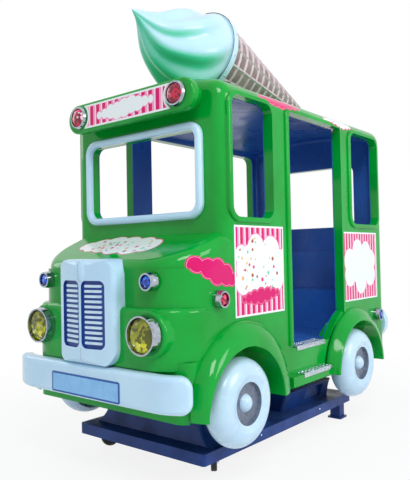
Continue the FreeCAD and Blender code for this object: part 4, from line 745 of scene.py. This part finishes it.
def striped(tree, place, across, start, period_mm):
    # Magenta stripes with a pale pink and a white one between
    parts = add_node(tree, "SeparateXYZ", {}, {"Vector": place})
    off = add_node(tree, "Math", {"operation": "SUBTRACT", 1: start}, {0: parts.outputs[across]})
    count = add_node(tree, "Math", {"operation": "MULTIPLY", 1: 1000.0 / period_mm},
                     {0: off.outputs["Value"]})
    turn = add_node(tree, "Math", {"operation": "FRACT"}, {0: count.outputs["Value"]}).outputs["Value"]
    pale = print_over(tree, STRIPE_WHITE, turn, WHITE_FROM, PALE_PINK)
    return print_over(tree, pale, turn, PINK_FROM, MAGENTA)


def clouded(tree, below, gap):
    # A white cloud with a pink line round it
    lined = print_over(tree, below, gap, 0.0, CLOUD_PINK)
    return print_over(tree, lined, gap, -CLOUD_LINE_MM / 1000.0, STICKER_WHITE)


panel_vinyl, tree, shader, place = new_finish("striped_vinyl_on_board", roughness=0.18, mirror=0.25)
spot = flat_spot(tree, place, "X", "Z")
margin_gap = outside_rectangle(tree, place, "X", "Z", SIGN_CORNERS[0], SIGN_CORNERS[1], MARGIN)
for side in (1, -1):
    hollow = cloud_gap(tree, spot, [(side * SIGN_HOLLOW[0], SIGN_HOLLOW[1], SIGN_HOLLOW[2])])
    margin_gap = overlap_gap(tree, margin_gap, beyond(tree, hollow, 0.0))
sign = striped(tree, place, "X", SIGN_CORNERS[0][0], SIGN_STRIPES_MM)
sign = clouded(tree, sign, cloud_gap(tree, spot, SIGN_CLOUD))
sign = print_over(tree, STICKER_WHITE, margin_gap, 0.0, sign)

spot = flat_spot(tree, place, "Y", "Z")
front = striped(tree, place, "Y", FRONT_CORNERS[0][0], FRONT_STRIPES_MM)
front_gap = cloud_gap(tree, spot, FRONT_CLOUD)
front = sprinkled_cloud(tree, front, spot, front_gap, CLOUD_PINK)
front = magenta_cloud(tree, front, cloud_gap(tree, spot, LOW_CLOUD))
margin_gap = outside_rectangle(tree, place, "Y", "Z", FRONT_CORNERS[0], FRONT_CORNERS[1], MARGIN)
front = print_over(tree, STICKER_WHITE, margin_gap, 0.0, front)

rear = striped(tree, place, "Y", REAR_CORNERS[0][0], REAR_STRIPES_MM)
rear = clouded(tree, rear, cloud_gap(tree, spot, REAR_CLOUD))
margin_gap = outside_rectangle(tree, place, "Y", "Z", REAR_CORNERS[0], REAR_CORNERS[1], MARGIN)
rear = print_over(tree, STICKER_WHITE, margin_gap, 0.0, rear)

parts = add_node(tree, "SeparateXYZ", {}, {"Vector": place})
out = add_node(tree, "Math", {"operation": "ABSOLUTE"}, {0: parts.outputs["X"]}).outputs["Value"]
sides = print_over(tree, rear, parts.outputs["Y"], 0.0, front)
tree.links.new(print_over(tree, sides, out, SIDE_PANELS_X, sign), shader.inputs["Base Color"])
uneven_gloss(tree, shader, place, 60.0, polished=0.12, dull=0.24)
ripple(tree, shader, place, 80.0, depth_mm=0.15)
dress(panel_vinyl, "striped_panels")


# The giant cone lies on the roof. Its cream is a cool white gelcoat moulding of seven folds that
# twist to a drawn-out tip. Where the folds' undersides face down to the green roof, they are made
# mint green, most towards the front and low down. It meets its collar at a thin black sealing cord,
# and a ring of screws holds the collar to the wafer.
CREAM = "#CBE9F8"
CREAM_SHADE = "#BADFF3"
CREAM_UNDERSIDE_MINT = "#48DCAE"
MINT_TILT = (-0.1, -0.65)
MINT_Y = (-0.24, -0.36)
MINT_Z = (2.03, 1.93)
CONE_AT = Vector((0.0, -0.19615, 1.897))
CONE_LEAN = math.radians(-99.0)
FOLDS = 7
FOLD_SHARP = 1.4
CREAM_TURN = 1.5
TURN_LATE = 1.3
# Each ring of the cream: how far ahead of the collar it is, its radius, how far it sags, and what
# share of its radius its furrows take
CREAM_RINGS = ((0.0, 0.200, 0.0, 0.02), (0.030, 0.211, 0.014, 0.06), (0.070, 0.217, 0.030, 0.10),
               (0.110, 0.215, 0.041, 0.13), (0.155, 0.204, 0.045, 0.15), (0.205, 0.180, 0.045, 0.17),
               (0.255, 0.155, 0.043, 0.18), (0.305, 0.126, 0.043, 0.18), (0.350, 0.088, 0.036, 0.17),
               (0.390, 0.052, 0.021, 0.15), (0.425, 0.026, 0.007, 0.12), (0.455, 0.010, 0.001, 0.06),
               (0.474, 0.0, 0.0, 0.0))
CREAM_LONG = CREAM_RINGS[-1][0]
COLLAR_R = 0.206
COLLAR_MID = 0.021
SEAL_BLACK = "#26323C"
SEAL_GREY = "#38444E"
SEAL_R = 0.0016
SEAL_SUNK = 0.0005
COLLAR_SCREWS = 12
SCREW_R = 0.0042
SCREW_PROUD = 0.002

on_cone = Matrix.Translation(CONE_AT) @ Matrix.Rotation(CONE_LEAN, 4, "X")
collar_gelcoat = gelcoat("collar_gelcoat_polished", CREAM, CREAM_SHADE)[0]
dress(collar_gelcoat, "cone_collar")

cream_gelcoat, tree, shader, place, base = gelcoat("cream_gelcoat_mint_below", CREAM, CREAM_SHADE)
# The folds are made mint green where they face down, most towards the front and low down
facing = add_node(tree, "NewGeometry", {}, {})
upward = add_node(tree, "SeparateXYZ", {}, {"Vector": facing.outputs["Normal"]})
facing_down = add_node(tree, "MapRange", {"From Min": MINT_TILT[0], "From Max": MINT_TILT[1]},
                   {"Value": upward.outputs["Z"]})
parts = add_node(tree, "SeparateXYZ", {}, {"Vector": place})
forward = add_node(tree, "MapRange",
                   {"From Min": MINT_Y[0], "From Max": MINT_Y[1], "To Min": 0.25, "To Max": 0.95},
                   {"Value": parts.outputs["Y"]})
under = add_node(tree, "MapRange", {"From Min": MINT_Z[0], "From Max": MINT_Z[1], "To Min": 0.2},
                 {"Value": parts.outputs["Z"]})
share = add_node(tree, "Math", {"operation": "MULTIPLY"},
                 {0: facing_down.outputs["Result"], 1: forward.outputs["Result"]})
amount = add_node(tree, "Math", {"operation": "MULTIPLY"},
                  {0: share.outputs["Value"], 1: under.outputs["Result"]})
mint = add_node(tree, "Mix", {"data_type": "RGBA", 7: linear(CREAM_UNDERSIDE_MINT)},
                {0: amount.outputs["Value"], 6: base})
tree.links.new(mint.outputs[2], shader.inputs["Base Color"])

cream = bmesh.new()
bmesh.ops.create_cone(cream, cap_ends=True, cap_tris=False, segments=6 * FOLDS, radius1=1.0, radius2=0.0,
                      depth=1.0, matrix=Matrix.Translation((0, 0, 0.5)))
for i in range(1, len(CREAM_RINGS) - 1):
    bmesh.ops.bisect_plane(cream, geom=cream.verts[:] + cream.edges[:] + cream.faces[:],
                           plane_co=(0, 0, i / (len(CREAM_RINGS) - 1)), plane_no=(0, 0, 1))
drop_way = on_cone.to_3x3().inverted() @ Vector((0, 0, -1))
for vert in cream.verts:
    ahead, reach, drop, depth = CREAM_RINGS[round(vert.co.z * (len(CREAM_RINGS) - 1))]
    angle = math.atan2(vert.co.y, vert.co.x) if reach else 0.0
    reach *= 1.0 - depth * (0.5 - 0.5 * math.cos(FOLDS * angle)) ** FOLD_SHARP
    angle += CREAM_TURN * (ahead / CREAM_LONG) ** TURN_LATE
    vert.co = Vector((reach * math.cos(angle), reach * math.sin(angle), -ahead)) + drop_way * drop
rim = cream.edges.layers.float.new("crease_edge")
for edge in cream.edges:
    if all(abs(v.co.z) < 0.001 for v in edge.verts):
        edge[rim] = 1.0
bmesh.ops.transform(cream, matrix=on_cone, verts=cream.verts[:])
piece = set_piece("cream_folds", cream, "truck", "cream_white", cream_gelcoat, smooth=True)
rounded = piece.modifiers.new("rounded", "SUBSURF")
rounded.levels = 2
rounded.render_levels = 2
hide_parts("cream_swirl")

seal_rubber, tree, shader, place = new_finish("black_rubber_sealing_cord", roughness=0.5, ior=1.52)
tree.links.new(mottle(tree, place, 10.0, SEAL_BLACK, SEAL_GREY, high=0.7), shader.inputs["Base Color"])
seal = bmesh.new()
upright = Matrix.Translation((COLLAR_R - SEAL_SUNK, 0, 0)) @ Matrix.Rotation(math.radians(90.0), 4, "X")
bmesh.ops.create_circle(seal, cap_ends=False, segments=8, radius=SEAL_R, matrix=upright)
bmesh.ops.spin(seal, geom=seal.verts[:] + seal.edges[:], cent=(0, 0, 0), axis=(0, 0, 1), dvec=(0, 0, 0),
               angle=math.tau, steps=96, use_merge=True, use_duplicate=False)
bmesh.ops.remove_doubles(seal, verts=seal.verts[:], dist=0.00001)
bmesh.ops.transform(seal, matrix=on_cone, verts=seal.verts[:])
set_piece("cone_seal", seal, "truck", "castor_rubber", seal_rubber, smooth=True)

screws = bmesh.new()
for i in range(COLLAR_SCREWS):
    angle = math.tau * (i + 0.5) / COLLAR_SCREWS
    outward = Vector((math.cos(angle), math.sin(angle), 0.0))
    button_head(screws, outward * COLLAR_R + Vector((0, 0, COLLAR_MID)), outward, SCREW_R, SCREW_PROUD)
bmesh.ops.transform(screws, matrix=on_cone, verts=screws.verts[:])
set_piece("collar_screws", screws, "truck", "chrome_trim", zinc)


# The wafer is a hollow fibreglass cone moulded in fourteen rows of sunk cells between raised ribs,
# sprayed pale biscuit with the cells left darker, in a dull paint that hides the gelcoat's shine.
WAFER_RIB = "#D2C4C8"
WAFER_RIB_SHADE = "#C0AFB2"
WAFER_CELL = "#A58D8E"
WAFER_CELL_DARK = "#877276"
CELL_ROWS = 14
CELL_PITCH = 0.0665
WAFER_START = 0.0343
WAFER_END = 1.115
WAFER_TIP = 1.190
WAFER_TAPER = 0.201 / WAFER_TIP
RIB_HALF = 0.0100
RIB_SHARE = 0.2
CELL_SUNK = 0.0065
SUNK_SHARE = 0.25
TIP_EDGE = 0.006
CELL_SHARP = math.radians(32.0)

length = WAFER_END - WAFER_START
wide = (WAFER_TIP - WAFER_START) * WAFER_TAPER
narrow = (WAFER_TIP - WAFER_END) * WAFER_TAPER
wafer = bmesh.new()
bmesh.ops.create_cone(wafer, cap_ends=True, cap_tris=False, segments=2 * CELL_ROWS, radius1=wide,
                      radius2=narrow, depth=length,
                      matrix=Matrix.Translation((0, 0, (WAFER_START + WAFER_END) / 2.0)))
rings = int(length / CELL_PITCH)
for i in range(1, rings + 1):
    bmesh.ops.bisect_plane(wafer, geom=wafer.verts[:] + wafer.edges[:] + wafer.faces[:],
                           plane_co=(0, 0, WAFER_START + i * CELL_PITCH), plane_no=(0, 0, 1))
cells = {}
for face in wafer.faces:
    middle = face.calc_center_median()
    if abs(face.normal.z) > 0.9 or middle.z > WAFER_START + rings * CELL_PITCH:
        continue
    row = int((math.atan2(middle.y, middle.x) + math.pi) / math.tau * CELL_ROWS)
    cells.setdefault((row, int((middle.z - WAFER_START) / CELL_PITCH)), []).append(face)
for (row, ring), pair in cells.items():
    across = math.tau * (WAFER_TIP - WAFER_START - (ring + 0.5) * CELL_PITCH) * WAFER_TAPER / CELL_ROWS
    bmesh.ops.inset_region(wafer, faces=pair, thickness=min(RIB_HALF, RIB_SHARE * across),
                           depth=-min(CELL_SUNK, SUNK_SHARE * across), use_even_offset=True)
    for face in pair:
        face.material_index = 1
tip_edges = [edge for edge in wafer.edges if all(v.co.z > WAFER_END - 0.0001 for v in edge.verts)]
round_edges(wafer, tip_edges, TIP_EDGE, 3)
bmesh.ops.transform(wafer, matrix=on_cone, verts=wafer.verts[:])

rib_paint, tree, shader, place = new_finish("sprayed_biscuit_paint", roughness=0.45)
tree.links.new(mottle(tree, place, 45.0, WAFER_RIB, WAFER_RIB_SHADE, high=0.7), shader.inputs["Base Color"])
ripple(tree, shader, place, 5.0, depth_mm=0.2)
cell_paint, tree, shader, place = new_finish("sprayed_biscuit_paint_in_cells", roughness=0.6)
tree.links.new(mottle(tree, place, 60.0, WAFER_CELL, WAFER_CELL_DARK), shader.inputs["Base Color"])
ripple(tree, shader, place, 5.0, depth_mm=0.3)
piece = set_piece("wafer_cells", wafer, "truck", "wafer", rib_paint, cell_paint, smooth=True)
piece.data.set_sharp_from_angle(angle=CELL_SHARP)
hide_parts("waffle_cone")


# The ride stands on a plain pale studio floor under soft lamps, seen from the front and its left.
# The floor keeps the ride's soft shadow close by and fades into the white backdrop further out.
FLOOR_PALE = "#F4F4F4"
FLOOR_GLOW = 0.86
FADE_FROM = 1.2
FADE_TO = 2.6
SKY = (0.9, 0.95, 1.0, 1.0)
SKY_STRENGTH = 0.52

bpy.ops.mesh.primitive_plane_add(size=60.0, location=(0, 0, 0))
studio_floor = bpy.context.object
studio_floor.name = "studio_floor"
pale, tree, shader, place = new_finish("pale_studio_floor", roughness=0.8)
shader.inputs["Base Color"].default_value = linear(FLOOR_PALE)


def seen_directly(tree):
    # Whether the ray comes from the camera, from a gloss or through glass
    seen = add_node(tree, "LightPath", {}, {})
    either = add_node(tree, "Math", {"operation": "MAXIMUM"},
                      {0: seen.outputs["Is Camera Ray"], 1: seen.outputs["Is Glossy Ray"]})
    return add_node(tree, "Math", {"operation": "MAXIMUM"},
                    {0: either.outputs["Value"], 1: seen.outputs["Is Transmission Ray"]}).outputs["Value"]


glow = add_node(tree, "Emission", {"Color": (1, 1, 1, 1), "Strength": 1.0}, {})
away = add_node(tree, "VectorMath", {"operation": "LENGTH"}, {0: place})
fade = add_node(tree, "MapRange", {"From Min": FADE_FROM, "From Max": FADE_TO, "To Min": FLOOR_GLOW},
                {"Value": away.outputs["Value"]})
share = add_node(tree, "Math", {"operation": "MULTIPLY"},
                 {0: seen_directly(tree), 1: fade.outputs["Result"]})
blend = add_node(tree, "MixShader", {}, {0: share.outputs["Value"], 1: shader.outputs["BSDF"],
                                         2: glow.outputs["Emission"]})
tree.links.new(blend.outputs["Shader"], tree.nodes["Material Output"].inputs["Surface"])
studio_floor.data.materials.append(pale)

world = bpy.data.worlds.new("studio")
bpy.context.scene.world = world
world.use_nodes = True
tree = world.node_tree
light = tree.nodes["Background"]
light.inputs["Color"].default_value = SKY
light.inputs["Strength"].default_value = SKY_STRENGTH
backdrop = add_node(tree, "Background", {"Color": (1, 1, 1, 1), "Strength": 1.0}, {})
mixed = add_node(tree, "MixShader", {}, {0: seen_directly(tree), 1: light.outputs["Background"],
                                         2: backdrop.outputs["Background"]})
tree.links.new(mixed.outputs["Shader"], tree.nodes["World Output"].inputs["Surface"])

# Each lamp: its name, place, size and power in watts
LAMPS = (("key", (3.0, -3.2, 4.8), 1.8, 118.0), ("fill", (4.6, 0.2, 2.8), 2.0, 88.0),
         ("far_side", (-4.2, -1.6, 3.0), 2.0, 32.0))
for name, at, size, power in LAMPS:
    lamp = bpy.data.lights.new(name, "AREA")
    lamp.shape = "SQUARE"
    lamp.size = size
    lamp.energy = power
    holder = bpy.data.objects.new(name, lamp)
    holder.location = at
    holder.rotation_euler = (Vector((0, 0, 1.0)) - Vector(at)).to_track_quat("-Z", "Y").to_euler()
    bpy.context.collection.objects.link(holder)

EYE = Vector((1.8278, -2.40395, 0.8989))
YAW = math.radians(39.564)
PITCH = math.radians(1.419)
ROLL = math.radians(-1.115)
right = Vector((math.cos(YAW), math.sin(YAW), 0.0))
ahead = Vector((-math.sin(YAW) * math.cos(PITCH), math.cos(YAW) * math.cos(PITCH), math.sin(PITCH)))
above = right.cross(ahead)
tilted_right = right * math.cos(ROLL) + above * math.sin(ROLL)
tilted_above = above * math.cos(ROLL) - right * math.sin(ROLL)
camera = bpy.data.cameras.new("camera")
camera.sensor_width = 36.0
camera.lens = 43.74
camera.clip_end = 100.0
stand = bpy.data.objects.new("camera", camera)
turned = Matrix((tilted_right, tilted_above, -ahead)).transposed().to_4x4()
stand.matrix_world = Matrix.Translation(EYE) @ turned
bpy.context.collection.objects.link(stand)
bpy.context.scene.camera = stand
bpy.context.scene.view_settings.view_transform = "Standard"
